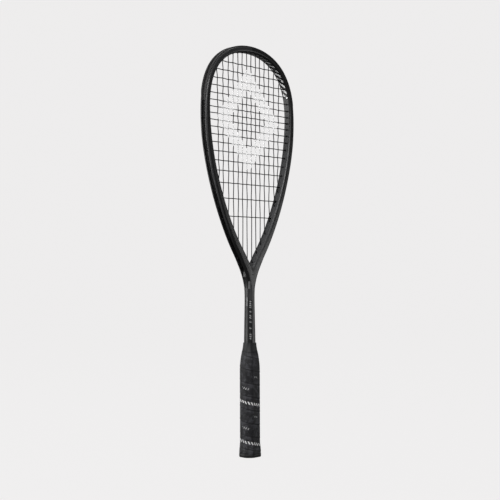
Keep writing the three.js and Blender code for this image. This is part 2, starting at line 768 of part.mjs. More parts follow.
function stapleShape(side, grow) {
  const bar = (x0, x1, y0, y1) => {
    const low = new THREE.Vector3(x0 - grow, Math.min(y0 * side, y1 * side), STAPLE_Z - STAPLE_WIRE / 2 - grow);
    const high = new THREE.Vector3(x1 + grow, Math.max(y0 * side, y1 * side), STAPLE_Z + STAPLE_WIRE / 2 + grow);
    return box(low, high);
  };
  const half = STAPLE_SPAN / 2;
  const crownTop = capFace + (grow > 0 ? 1 : 0);
  const crown = bar(-half, half, capFace - STAPLE_WIRE - grow, crownTop);
  const legs = [-half, half - STAPLE_WIRE].map((x) =>
    bar(x, x + STAPLE_WIRE, capFace - STAPLE_LEG - grow, crownTop),
  );
  return wasm.Manifold.union([crown, ...legs]);
}

const stapleSlot = (side) => stapleShape(side, CLEARANCE);
const makeStaple = (side) => stapleShape(side, 0);

function makeGrip() {
  const rows = [...SHOULDER_STEPS, GRIP_END_Z - CLEARANCE].map((z) => [z, 0, shoulder(z)]);
  const outside = handleSolid([...flareRows(0), ...rows]);
  const lining = [
    [GRIP_START_Z - 1, FLARE - GRIP_THICKNESS + 0.5, 1],
    ...flareRows(-GRIP_THICKNESS),
    ...SHOULDER_STEPS.map((z) => [z, -GRIP_THICKNESS, shoulder(z)]),
    [GRIP_END_Z + 1, -GRIP_THICKNESS, shoulder(GRIP_END_Z)],
  ];
  return outside.subtract(handleSolid(lining));
}

function makeCollar() {
  const lip = (z, grow) => {
    const target = shaftRing(z, grow);
    return handleRing(z, 0).map((p) => {
      const angle = Math.atan2(p.y, p.x);
      const radius = Math.max(...target.map((q) => q.x * Math.cos(angle) + q.y * Math.sin(angle)));
      return new THREE.Vector3(radius * Math.cos(angle), radius * Math.sin(angle), z);
    });
  };
  const outside = loftSolid([
    handleRing(GRIP_END_Z, 0, shoulder(GRIP_END_Z)),
    lip(GRIP_END_Z + 6, COLLAR_LIP + 1.2),
    lip(COLLAR_END_Z, COLLAR_LIP),
  ]);
  return outside.subtract(shaftCutter(GRIP_END_Z - 1, COLLAR_END_Z + 1));
}

// --- The assembly ---

const racket = new THREE.Group();

function addPiece(name, solid, material) {
  const mesh = new THREE.Mesh(toGeometry(solid), material);
  mesh.name = name;
  racket.add(mesh);
}

addPiece("frame", makeFrame(), MATERIALS.carbon);
addPiece("bumper_guard", makeBumper(), MATERIALS.bumper);
addPiece("grommet_strip_left", makeSideStrip(-1), MATERIALS.grommet);
addPiece("grommet_strip_right", makeSideStrip(1), MATERIALS.grommet);
addPiece("throat_grommet_left", makeThroatGrommet(-1), MATERIALS.grommet);
addPiece("throat_grommet_right", makeThroatGrommet(1), MATERIALS.grommet);
addPiece("main_string", tube(mainRoute(), STRING_R, STRING_SIDES), MATERIALS.string);
addPiece("cross_string", tube(crossRoute(), STRING_R, STRING_SIDES), MATERIALS.string);
addPiece("handle_pallet_front", makePalletHalf(-1), MATERIALS.foam);
addPiece("handle_pallet_back", makePalletHalf(1), MATERIALS.foam);
addPiece("butt_cap", makeButtCap(), MATERIALS.cap);
addPiece("butt_cap_badge", badgeSolid(0, BADGE_SINK, BADGE_SINK + BADGE_THICKNESS), MATERIALS.badge);
addPiece("cap_staple_front", makeStaple(-1), MATERIALS.steel);
addPiece("cap_staple_back", makeStaple(1), MATERIALS.steel);
addPiece("grip_tape", makeGrip(), MATERIALS.grip);
addPiece("grip_collar", makeCollar(), MATERIALS.collar);

export default racket;
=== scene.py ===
"""The looks of a squash racket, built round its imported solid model.

Everything is in the part's frame: +X across the face, +Y through it and +Z up to the head, with the
origin at the centre of the butt. Sizes in the classes are millimetres; meshes are made in metres.
"""

import logging
import math
from collections.abc import Callable, Mapping, Sequence
from dataclasses import dataclass, field
from enum import Enum
from typing import Any

import bmesh
import bpy
import numpy as np
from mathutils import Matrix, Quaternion, Vector


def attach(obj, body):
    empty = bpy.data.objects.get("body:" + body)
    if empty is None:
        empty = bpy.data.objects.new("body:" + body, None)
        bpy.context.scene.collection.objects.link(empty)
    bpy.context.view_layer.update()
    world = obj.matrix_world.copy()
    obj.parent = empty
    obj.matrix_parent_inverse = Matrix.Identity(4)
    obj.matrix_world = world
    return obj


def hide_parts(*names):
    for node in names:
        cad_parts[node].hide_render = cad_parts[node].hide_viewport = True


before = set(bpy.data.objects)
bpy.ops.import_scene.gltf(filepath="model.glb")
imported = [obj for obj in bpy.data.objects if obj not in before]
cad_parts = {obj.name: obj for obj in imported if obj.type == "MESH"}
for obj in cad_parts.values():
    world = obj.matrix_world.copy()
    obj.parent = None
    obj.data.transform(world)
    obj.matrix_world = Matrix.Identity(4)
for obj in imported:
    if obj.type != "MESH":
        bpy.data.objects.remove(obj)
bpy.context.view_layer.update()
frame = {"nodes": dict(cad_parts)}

MM = 0.001
BODY = "root"
SHARP_ANGLE = math.radians(38)
FRAME_SHARP_ANGLE = math.radians(50)
LOG = logging.getLogger("racket")
Point = tuple[float, float, float]
Pair = tuple[float, float]


# --- Node graphs ---


class Term:
    """A node socket that takes part in Python arithmetic by adding Math nodes to its graph."""

    def __init__(self, graph: "Graph", socket: bpy.types.NodeSocket) -> None:
        """Wraps one output socket of the graph."""
        self.graph = graph
        self.socket = socket

    def _math(self, operation: str, *values: Any) -> "Term":
        """Adds one Math node.

        Args:
            operation: The Math node's operation.
            values: Its inputs in order, as numbers or terms.

        Returns:
            The node's result.
        """
        inputs = dict(enumerate(values))
        return self.graph.node("ShaderNodeMath", {"operation": operation}, inputs)

    def __add__(self, other: Any) -> "Term":
        """The sum."""
        return self._math("ADD", self, other)

    __radd__ = __add__

    def __sub__(self, other: Any) -> "Term":
        """The difference."""
        return self._math("SUBTRACT", self, other)

    def __rsub__(self, other: Any) -> "Term":
        """The difference with the term taken away."""
        return self._math("SUBTRACT", other, self)

    def __mul__(self, other: Any) -> "Term":
        """The product."""
        return self._math("MULTIPLY", self, other)

    __rmul__ = __mul__

    def __truediv__(self, other: Any) -> "Term":
        """The quotient."""
        return self._math("DIVIDE", self, other)

    def __gt__(self, other: Any) -> "Term":
        """One where the term is greater, else nought."""
        return self._math("GREATER_THAN", self, other)

    def __lt__(self, other: Any) -> "Term":
        """One where the term is less, else nought."""
        return self._math("LESS_THAN", self, other)

    def __abs__(self) -> "Term":
        """The size without its sign."""
        return self._math("ABSOLUTE", self)

    def fract(self) -> "Term":
        """The part after the decimal point, from 0 to 1 for negative numbers too."""
        return self._math("FLOORED_MODULO", self, 1.0)

    def floor(self) -> "Term":
        """The whole number below."""
        return self._math("FLOOR", self)

    def biggest(self, other: Any) -> "Term":
        """The greater of two."""
        return self._math("MAXIMUM", self, other)

    def between(self, low: float, high: float) -> "Term":
        """One between two numbers, else nought."""
        return (self > low) * (self < high)

    def ramp(self, low: float, high: float) -> "Term":
        """A smooth rise from 0 at low to 1 at high."""
        settings = {"interpolation_type": "SMOOTHSTEP"}
        inputs = {"Value": self, "From Min": low, "From Max": high}
        return self.graph.node("ShaderNodeMapRange", settings, inputs)


class Graph:
    """A node tree that is written with one call a node."""

    def __init__(self, tree: bpy.types.NodeTree) -> None:
        """Starts the tree empty."""
        self.tree = tree
        tree.nodes.clear()

    def put(self, socket: bpy.types.NodeSocket, value: Any) -> None:
        """Links a term to a socket, or sets the socket's own value."""
        if isinstance(value, Term):
            self.tree.links.new(value.socket, socket)
        else:
            socket.default_value = value

    def node(
        self,
        kind: str,
        settings: Mapping[str, Any] | None = None,
        inputs: Mapping[str | int, Any] | None = None,
        output: str | int = 0,
    ) -> Term:
        """Adds a node.

        Args:
            kind: The node's type.
            settings: Its properties, set first.
            inputs: Values or terms by the socket's name or place.
            output: The output to return.

        Returns:
            The chosen output.
        """
        made = self.tree.nodes.new(kind)
        for name, value in (settings or {}).items():
            setattr(made, name, value)
        for key, value in (inputs or {}).items():
            self.put(made.inputs[key], value)
        return Term(self, made.outputs[output] if len(made.outputs) else None)

    def mix(self, factor: Any, first: Any, second: Any) -> Term:
        """Mixes two colours: first where the factor is 0 and second where it is 1."""
        colours = [c if isinstance(c, Term) else (*c, 1.0) for c in (first, second)]
        settings = {"data_type": "RGBA"}
        return self.node("ShaderNodeMix", settings, {0: factor, 6: colours[0], 7: colours[1]}, 2)

    def attribute(self, name: str) -> Term:
        """A number stored on the mesh's points."""
        return self.node("ShaderNodeAttribute", {"attribute_name": name}, None, "Fac")

    def place(self) -> tuple[Term, Term, Term, Term]:
        """The point on the object, as one vector and as its X, Y and Z."""
        vector = self.node("ShaderNodeTexCoord", None, None, "Object")
        split = self.node("ShaderNodeSeparateXYZ", None, {0: vector}).socket.node
        x, y, z = (Term(self, socket) for socket in split.outputs)
        return vector, x, y, z

    def vector(self, x: Any, y: Any, z: Any) -> Term:
        """Three terms or numbers as a vector."""
        return self.node("ShaderNodeCombineXYZ", None, {0: x, 1: y, 2: z})

    def noise(self, vector: Term, scale: float, detail: float = 3.0, rough: float = 0.5) -> Term:
        """A noise from 0 to 1."""
        inputs = {"Vector": vector, "Scale": scale, "Detail": detail, "Roughness": rough}
        return self.node("ShaderNodeTexNoise", None, inputs)

    def bump(self, height: Term, strength: float, distance: float) -> Term:
        """A normal that follows a height."""
        inputs = {"Strength": strength, "Distance": distance, "Height": height}
        return self.node("ShaderNodeBump", None, inputs)


def surface(name: str, dress: Callable[[Graph], Mapping[str, Any]]) -> bpy.types.Material:
    """Makes a material with one Principled shader.

    Args:
        name: The material's name.
        dress: Adds the pattern's nodes and returns the shader's values and terms by socket name.

    Returns:
        The material.
    """
    material = bpy.data.materials.new(name)
    material.use_nodes = True
    graph = Graph(material.node_tree)
    shader = graph.node("ShaderNodeBsdfPrincipled", None, dress(graph))
    graph.node("ShaderNodeOutputMaterial", None, {"Surface": shader})
    return material


# --- Meshes ---


class Shading(Enum):
    """How a mesh's faces are shaded."""

    SMOOTH = "smooth"
    BY_ANGLE = "by angle"


def make_mesh(name: str, points: np.ndarray, faces: Sequence[Sequence[int]]) -> bpy.types.Mesh:
    """A mesh from points in millimetres."""
    mesh = bpy.data.meshes.new(name)
    mesh.from_pydata((np.asarray(points, float) * MM).tolist(), [], [tuple(f) for f in faces])
    mesh.validate()
    return mesh


def store(mesh: bpy.types.Mesh, name: str, values: Sequence[float]) -> None:
    """Stores a number on each point of a mesh."""
    attribute = mesh.attributes.new(name, "FLOAT", "POINT")
    attribute.data.foreach_set("value", np.asarray(values, np.float32))


def grid_faces(rings: int, size: int, closed: bool = True, first: int = 0) -> list[tuple[int, ...]]:
    """The quads between rings of points that follow one another.

    Args:
        rings: The number of rings.
        size: The points in a ring.
        closed: Whether a ring's last point joins its first.
        first: The number of the first point.

    Returns:
        The faces as point numbers.
    """
    faces = []
    for r in range(rings - 1):
        for i in range(size if closed else size - 1):
            a = first + r * size + i
            b = first + r * size + (i + 1) % size
            faces.append((a, b, b + size, a + size))
    return faces


def cap_faces(rings: int, size: int) -> list[tuple[int, ...]]:
    """Rungs that fill the first and last ring, from one side of the section to the other.

    Args:
        rings: The number of rings.
        size: The points in a ring.

    Returns:
        The faces as point numbers.
    """
    faces = []
    for i in range((size - 1) // 2):
        rung = tuple(dict.fromkeys((i, i + 1, size - 2 - i, size - 1 - i)))
        faces.append(rung[::-1])
        faces.append(tuple(k + (rings - 1) * size for k in rung))
    return faces


def tidy(mesh: bpy.types.Mesh, shading: Shading = Shading.BY_ANGLE, merge: float = 1e-6) -> None:
    """Merges doubles, turns the faces outwards and shades the mesh.

    Args:
        mesh: The mesh, changed in place.
        shading: How its faces are shaded.
        merge: The distance in metres within which points are one.
    """
    work = bmesh.new()
    work.from_mesh(mesh)
    bmesh.ops.remove_doubles(work, verts=work.verts, dist=merge)
    bmesh.ops.dissolve_degenerate(work, edges=work.edges, dist=merge)
    bmesh.ops.recalc_face_normals(work, faces=work.faces)
    work.to_mesh(mesh)
    work.free()
    for polygon in mesh.polygons:
        polygon.use_smooth = True
    if shading is Shading.BY_ANGLE:
        mesh.set_sharp_from_angle(angle=SHARP_ANGLE)


def join(name: str, meshes: Sequence[bpy.types.Mesh]) -> bpy.types.Mesh:
    """Several meshes as one, with its faces as they were.

    Args:
        name: The new mesh's name.
        meshes: The meshes to join.

    Returns:
        The joined mesh.
    """
    work = bmesh.new()
    for mesh in meshes:
        work.from_mesh(mesh)
    made = bpy.data.meshes.new(name)
    work.to_mesh(made)
    work.free()
    return made


def new_object(name: str, data: bpy.types.ID) -> bpy.types.Object:
    """A new object in the scene, at the origin."""
    made = bpy.data.objects.new(name, data)
    bpy.context.scene.collection.objects.link(made)
    return made

def add_piece(
    name: str, mesh: bpy.types.Mesh, material: bpy.types.Material, nodes: Sequence[str]
) -> bpy.types.Object:
    """Puts a finished mesh in the scene in place of its CAD nodes.

    Args:
        name: The piece's name.
        mesh: Its mesh, in place.
        material: Its finish.
        nodes: The CAD nodes that it stands for.

    Returns:
        The new object.
    """
    mesh.materials.clear()
    mesh.materials.append(material)
    piece = new_object(name, mesh)
    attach(piece, BODY)
    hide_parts(*nodes)
    LOG.info("%s: %d faces", name, len(mesh.polygons))
    return piece


# --- Geometry Nodes ---


class Growth(Graph):
    """A Geometry Nodes tree with named inputs, ended by Realize Instances and Set Material."""

    KINDS = {
        float: "NodeSocketFloat",
        int: "NodeSocketInt",
        bpy.types.Object: "NodeSocketObject",
        bpy.types.Material: "NodeSocketMaterial",
    }

    def __init__(self, name: str, inputs: Mapping[str, type]) -> None:
        """Starts a tree.

        Args:
            name: The tree's name.
            inputs: The type of each named input.
        """
        super().__init__(bpy.data.node_groups.new(name, "GeometryNodeTree"))
        interface = self.tree.interface
        interface.new_socket("Geometry", in_out="INPUT", socket_type="NodeSocketGeometry")
        self.keys = {}
        for label, kind in {**inputs, "Finish": bpy.types.Material}.items():
            socket = interface.new_socket(label, in_out="INPUT", socket_type=self.KINDS[kind])
            self.keys[label] = socket.identifier
        interface.new_socket("Geometry", in_out="OUTPUT", socket_type="NodeSocketGeometry")
        self.source = self.tree.nodes.new("NodeGroupInput")

    def input(self, label: str) -> Term:
        """One of the tree's inputs."""
        return Term(self, self.source.outputs[label])

    def end(self, geometry: Term) -> None:
        """Finishes the tree with the given geometry.

        Args:
            geometry: The geometry to realize and dress.
        """
        realized = self.node("GeometryNodeRealizeInstances", None, {0: geometry})
        smooth = self.node("GeometryNodeSetShadeSmooth", None, {"Geometry": realized})
        dressed = self.node(
            "GeometryNodeSetMaterial", None, {"Geometry": smooth, "Material": self.input("Finish")}
        )
        self.node("NodeGroupOutput", None, {0: dressed})

    def grow(self, name: str, seed: bpy.types.ID, values: Mapping[str, Any]) -> bpy.types.Mesh:
        """Runs the tree on a mesh or a curve.

        Args:
            name: The result's name.
            seed: The mesh or curve data that the tree starts from.
            values: The tree's inputs by name.

        Returns:
            The result as a plain mesh.
        """
        carrier = new_object(name + "_seed", seed)
        modifier = carrier.modifiers.new(name, "NODES")
        modifier.node_group = self.tree
        for label, value in values.items():
            modifier[self.keys[label]] = value
        graph = bpy.context.evaluated_depsgraph_get()
        made = bpy.data.meshes.new_from_object(carrier.evaluated_get(graph), depsgraph=graph)
        made.name = name
        carrier.modifiers.clear()
        bpy.data.objects.remove(carrier)
        return made


def tube_growth() -> Growth:
    """A tree that thickens a curve into a round tube.

    Returns:
        The tree.
    """
    growth = Growth("string_tube", {"Radius": float, "Sides": int})
    rim = growth.node(
        "GeometryNodeCurvePrimitiveCircle",
        {"mode": "RADIUS"},
        {"Resolution": growth.input("Sides"), "Radius": growth.input("Radius")},
    )
    inputs = {"Curve": growth.input("Geometry"), "Profile Curve": rim, "Fill Caps": True}
    growth.end(growth.node("GeometryNodeCurveToMesh", None, inputs))
    return growth


def barrel_growth() -> Growth:
    """A tree that sets a barrel on every point, turned along the point's own aim.

    Returns:
        The tree.
    """
    growth = Growth("grommet_barrels", {"Barrel": bpy.types.Object})
    barrel = growth.node(
        "GeometryNodeObjectInfo", None, {"Object": growth.input("Barrel")}, "Geometry"
    )
    aim = growth.node(
        "GeometryNodeInputNamedAttribute", {"data_type": "FLOAT_VECTOR"}, {"Name": "aim"}
    )
    size = growth.node("GeometryNodeInputNamedAttribute", {"data_type": "FLOAT"}, {"Name": "size"})
    turn = growth.node("FunctionNodeAlignRotationToVector", {"axis": "Z"}, {"Vector": aim})
    scale = growth.vector(size, size, 1.0)
    inputs = {
        "Points": growth.input("Geometry"),
        "Instance": barrel,
        "Rotation": turn,
        "Scale": scale,
    }
    growth.end(growth.node("GeometryNodeInstanceOnPoints", None, inputs))
    return growth


# --- The frame's line ---


@dataclass(frozen=True)
class Station:
    """The frame's section at one place: its centre, its way out and its reaches."""

    x: float
    z: float
    out_x: float
    out_z: float
    outer: float
    inner: float
    depth: float
    corner: float
    groove: float

    def point(self, across: float, deep: float) -> Point:
        """The point at a distance outwards from the centreline and along Y."""
        return (self.x + self.out_x * across, deep, self.z + self.out_z * across)

    def flipped(self) -> "Station":
        """The same section on the other leg."""
        return Station(
            -self.x, self.z, -self.out_x, self.out_z,
            self.outer, self.inner, self.depth, self.corner, self.groove,
        )


@dataclass(frozen=True)
class LegLine:
    """The right leg's centreline and the frame's reach round it."""

    length: float = 686.0
    head_width: float = 210.4
    hoop_width: float = 9.2
    side_reach: float = 6.4
    bumper_proud: float = 1.6
    bumper_end: float = 583.5
    widest_drop: float = 108.5
    throat: Pair = (27.5, 345.7)
    throat_angle: float = math.radians(33.8)
    throat_reach: float = 7.1
    split_z: float = 270.4
    foot_z: float = 9.0
    leg_x: float = 3.525
    shaft: tuple[Point, Point] = ((194.6, 16.0, 18.2), (258.6, 14.1, 16.8))
    beam_depth: float = 16.8
    corners: Pair = (6.0, 3.5)
    groove_depth: float = 2.8
    pulls: Point = (29.5, 33.5, 42.3)
    crown: Point = (0.44, 0.8, 0.425)
    top: int = 4

    @property
    def top_z(self) -> float:
        """The height of the centreline at the top of the head."""
        return self.length - self.bumper_proud - self.hoop_width / 2

    @property
    def half(self) -> float:
        """Half the width between the centrelines at the widest place."""
        return self.head_width / 2 - self.side_reach

    def _curves(self) -> list[np.ndarray]:
        """The four Bezier curves from the foot to the top.

        Returns:
            Four rows of four (x, z) control points.
        """
        tx, tz = self.throat
        pull = np.array([math.sin(self.throat_angle), math.cos(self.throat_angle)])
        throat = np.array([tx, tz])
        wide = self.length - self.widest_drop
        low, under, over = self.pulls
        below, above, across = self.crown
        foot, split = np.array([self.leg_x, self.foot_z]), np.array([self.leg_x, self.split_z])
        return [
            np.array([foot, foot + (split - foot) / 3, foot + (split - foot) * 2 / 3, split]),
            np.array([split, split + (0, low), throat - under * pull, throat]),
            np.array([
                throat, throat + over * pull,
                (self.half, wide - below * (wide - tz)), (self.half, wide),
            ]),
            np.array([
                (self.half, wide), (self.half, wide + above * (self.top_z - wide)),
                (across * self.half, self.top_z), (0.0, self.top_z),
            ]),
        ]

    def at(self, place: float) -> Station:
        """The section at a place.

        Args:
            place: The curve's number plus the share of it; past the top it runs down the left leg.

        Returns:
            The section.
        """
        if place > self.top:
            return self.at(2 * self.top - place).flipped()
        piece = min(int(place), self.top - 1)
        t = place - piece
        a, b, c, d = self._curves()[piece]
        u = 1 - t
        spot = a * u**3 + 3 * b * u * u * t + 3 * c * u * t * t + d * t**3
        way = 3 * ((b - a) * u * u + 2 * (c - b) * u * t + (d - c) * t * t)
        way = way / np.linalg.norm(way)
        return self._sized(float(spot[0]), float(spot[1]), float(way[1]), float(-way[0]))

    def _sized(self, x: float, z: float, out_x: float, out_z: float) -> Station:
        """The section with its reaches worked out from its height.

        Args:
            x: The centre's X.
            z: The centre's height.
            out_x: The way out along X.
            out_z: The way out along Z.

        Returns:
            The section.
        """
        tz, reach = self.throat[1], self.throat_reach
        hoop, side = self.hoop_width / 2, self.side_reach
        (low, low_width, low_depth), (neck, width, depth) = self.shaft
        outer = [
            (low, low_width / 2 - self.leg_x), (neck, width / 2 - self.leg_x),
            (tz - 62.5, width / 2 - self.leg_x), (tz - 51, reach - 2.4), (tz - 36.5, reach - 1),
            (tz - 18.7, reach + 0.3), (tz, reach + 0.2), (tz + 33.5, side + 0.4), (tz + 110, side),
            (self.bumper_end - 55, side), (self.bumper_end + 5, hoop),
        ]
        inner = [
            (self.split_z, self.leg_x + self.corners[0]), (tz - 41.3, reach + 4.5),
            (tz - 34, reach + 2.85), (tz - 26.6, reach + 1.2), (tz - 18.7, reach),
            (tz, reach - 1.1), (tz + 33.5, hoop + 0.7), (tz + 110, hoop),
        ]
        return Station(
            x, z, out_x, out_z,
            outer=blend(z, outer),
            inner=blend(z, inner),
            depth=blend(z, [(low, low_depth), (neck, depth), (tz - 37.4, self.beam_depth)]),
            corner=blend(z, [(self.split_z, self.corners[0]), (tz - 27.6, self.corners[1])]),
            groove=blend(z, [(tz - 43.8, 0.0), (tz - 34.8, self.groove_depth)]),
        )

    def place_at_height(self, z: float) -> float:
        """The place whose centre has the given height."""
        return self.seek(lambda place: self.at(place).z - z, 1.0, self.top)

    @staticmethod
    def seek(error: Callable[[float], float], low: float, high: float) -> float:
        """The place where an error changes sign.

        Args:
            error: The error at a place.
            low: The lowest place to look at.
            high: The highest.

        Returns:
            The place.
        """
        rising = error(high) > error(low)
        for _ in range(34):
            middle = (low + high) / 2
            if (error(middle) < 0) == rising:
                low = middle
            else:
                high = middle
        return (low + high) / 2


def blend(value: float, pairs: Sequence[Pair]) -> float:
    """Straight interpolation through (value, result) pairs."""
    keys, results = zip(*pairs)
    return float(np.interp(value, keys, results))


def arc(centre: Pair, radius: float, start: float, end: float, steps: int) -> list[Pair]:
    """Points of an arc, its ends among them, with the angles in degrees."""
    angles = np.radians(np.linspace(start, end, steps + 1))
    return [(centre[0] + radius * math.cos(a), centre[1] + radius * math.sin(a)) for a in angles]


# --- Finishes ---


@dataclass(frozen=True)
class CarbonFinish:
    """Satin charcoal lacquer over carbon fibre, with its painted marks and painted highlights."""

    dark: Point = (0.009, 0.009, 0.0095)
    # The lighter charcoal that the random tone and the painted highlights lean towards.
    light: Point = (0.062, 0.062, 0.064)
    print_colour: Point = (0.86, 0.86, 0.86)
    shaft_print: Point = (0.34, 0.34, 0.345)
    bar_pitch: float = 0.0108
    bar_run: Pair = (0.555, 0.66)
    bar_half: float = 0.0046
    bar_lean: float = 0.95

    def material(self) -> bpy.types.Material:
        """The finish as a material."""
        return surface("carbon", self._dress)

    def _dress(self, graph: Graph) -> dict[str, Any]:
        """Adds the fibre, a random tone, painted highlights on some faces and the painted marks.

        Args:
            graph: The material's graph.

        Returns:
            The shader's values by socket name.
        """
        vector, x, y, z = graph.place()
        run, face = graph.attribute("run"), graph.attribute("face")
        fibre = graph.noise(graph.vector(run * 70.0, y * 800.0, face * 6.0), 1.0, 4.0, 0.6)
        cloud = graph.noise(vector, 16.0, 3.0)
        speck = graph.noise(vector, 420.0, 4.0, 0.7)
        # Painted highlight: the inner faces of the legs below the head are lighter, standing in for side
        # light falling on them.
        inner_face_highlight = (face < -0.55) * (1 - z.ramp(0.46, 0.6))
        # Painted highlight: a lighter wedge at the throat, standing in for light falling on its faces.
        throat_highlight = z.between(0.262, 0.345) * (1 - abs(x).ramp(0.003, 0.010)) * 0.9
        # Painted highlight: lighter streaks on the outer face near its front and back edges, from the throat
        # upwards.
        streak_highlight = (face > 0.6) * abs(y).between(0.0042, 0.0072) * z.ramp(0.33, 0.42) * 0.7
        # Painted highlight: a lighter patch on the front of the left leg near the top of the head.
        shoulder = (x < 0.0) * z.ramp(0.57, 0.63) * (y < -0.006) * 0.5
        # Painted highlight: a lighter band on the +X, -Y side of the shaft and throat, standing in for a
        # softbox's reflection.
        band = (1 - z.ramp(0.32, 0.42)) * (x - y).ramp(0.006, 0.008) * 0.85
        # The painted highlights above, joined into one mask.
        painted_highlights = (inner_face_highlight * 0.85).biggest(throat_highlight).biggest(band).biggest(streak_highlight).biggest(shoulder)
        # The tone mixes the painted highlights with random cloud, fibre and specks.
        tone = painted_highlights * 0.85 + (cloud - 0.5) * 0.35 + (fibre - 0.5) * 0.5 + (speck - 0.5) * 0.12
        base = graph.mix(tone.ramp(0.0, 1.0), self.dark, self.light)
        marked = graph.mix(self._bars(x, y, run, face), base, self.print_colour)
        final = graph.mix(self._shaft_marks(graph, x, y, z), marked, self.shaft_print)
        ring = z.between(0.2635, 0.2647)
        grain = graph.noise(vector, 1500.0, 2.0)
        return {
            "Base Color": final,
            "Roughness": 0.38 + (fibre - 0.5) * 0.2 + (cloud - 0.5) * 0.14,
            "Metallic": 0.0,
            "Specular IOR Level": 0.3,
            "Coat Weight": 0.12,
            "Coat Roughness": 0.25,
            "Normal": graph.bump(grain * 0.45 + fibre * 0.55 - ring * 2.0, 0.14, 0.0002),
        }

    def _bars(self, x: Term, y: Term, run: Term, face: Term) -> Term:
        """Slanted bars along the inside of the head's right side, bolder towards their lower end.

        Args:
            x: The point's X.
            y: Its Y.
            run: Its distance along the leg.
            face: -1 on the inner face, 1 on the outer.

        Returns:
            The bars' strength.
        """
        start, end = self.bar_run
        slant = (run - start - y * self.bar_lean) / self.bar_pitch
        bars = slant.fract().between(0.12, 0.56)
        band = (face < -0.6) * (abs(y) < self.bar_half) * (x > 0.0)
        fade = 0.35 + 0.65 * (1 - run.ramp(start + 0.03, end - 0.01))
        return bars * band * run.between(start, end) * fade

    @staticmethod
    def _shaft_marks(graph: Graph, x: Term, y: Term, z: Term) -> Term:
        """Small dashes up the shaft's front, a fine line beside them and a panel above.

        Args:
            graph: The material's graph.
            x: The point's X.
            y: Its Y.
            z: Its height.

        Returns:
            The marks' strength.
        """
        across, near = (x - y) / math.sqrt(2), (x + y) < -0.004
        front = (abs(across - 0.0013) < 0.0015) * near
        step = z * 290.0
        settings = {"noise_dimensions": "1D"}
        cells = graph.node("ShaderNodeTexWhiteNoise", settings, {"W": step.floor()})
        dashes = (step + across * 120.0).fract().between(0.2, 0.76) * (cells > 0.3)
        words = front * dashes * z.between(0.196, 0.2605)
        side = (abs(across + 0.0043) < 0.0006) * near * z.between(0.2525, 0.2665)
        panel = (abs(across + 0.0005) < 0.0017) * near * z.between(0.2806, 0.2932) * 0.4
        return words.biggest(side * 0.8).biggest(panel)


@dataclass(frozen=True)
class MouldedFinish:
    """Moulded nylon, rubber or plastic with a fine texture."""

    name: str
    colour: Point
    roughness: float
    grain: float = 900.0
    coat: float = 0.0
    depth: float = 0.00015
    gloss: float = 0.4

    def material(self) -> bpy.types.Material:
        """The finish as a material."""
        return surface(self.name, self._dress)

    def _dress(self, graph: Graph) -> dict[str, Any]:
        """Adds the texture, a slow change of tone and light scuffs.

        Args:
            graph: The material's graph.

        Returns:
            The shader's values by socket name.
        """
        vector, _, _, _ = graph.place()
        fine = graph.noise(vector, self.grain, 3.0, 0.6)
        cloud = graph.noise(vector, 30.0, 3.0)
        scuff = graph.noise(vector, 160.0, 6.0, 0.7).ramp(0.62, 0.78)
        worn = tuple(min(1.0, channel * 2.2 + 0.002) for channel in self.colour)
        return {
            "Base Color": graph.mix(scuff * 0.5 + (cloud - 0.5) * 0.3, self.colour, worn),
            "Roughness": self.roughness + (cloud - 0.5) * 0.14 + (fine - 0.5) * 0.1,
            "Coat Weight": self.coat,
            "Specular IOR Level": self.gloss,
            "Normal": graph.bump(fine, 0.35, self.depth),
        }


@dataclass(frozen=True)
class StringFinish:
    """Coated string with a printed hollow rhombus on the string bed."""

    colour: Point = (0.003, 0.003, 0.0034)
    thread: Point = (0.011, 0.011, 0.012)
    ink: Point = (0.96, 0.96, 0.96)
    centre: Pair = (-0.002, 0.563)
    reach: Pair = (0.074, 0.088)
    stroke: float = 0.42

    def material(self) -> bpy.types.Material:
        """The finish as a material."""
        return surface("string", self._dress)

    def _dress(self, graph: Graph) -> dict[str, Any]:
        """Adds the twist under the coating and the ink.

        Args:
            graph: The material's graph.

        Returns:
            The shader's values by socket name.
        """
        vector, x, y, z = graph.place()
        spread = abs(x - self.centre[0]) / self.reach[0] + abs(z - self.centre[1]) / self.reach[1]
        printed = spread.between(1 - self.stroke, 1.0)
        worn = graph.noise(vector, 900.0, 3.0).ramp(0.2, 0.42)
        twist = graph.noise(graph.vector(x, y * 3.0, z), 800.0, 2.0)
        base = graph.mix((twist - 0.35).ramp(0.0, 0.5), self.colour, self.thread)
        return {
            "Base Color": graph.mix(printed * (0.88 + 0.12 * worn), base, self.ink),
            "Roughness": 0.42 + printed * 0.2,
            "Specular IOR Level": 0.2,
            "Normal": graph.bump(twist, 0.3, 0.0001),
        }


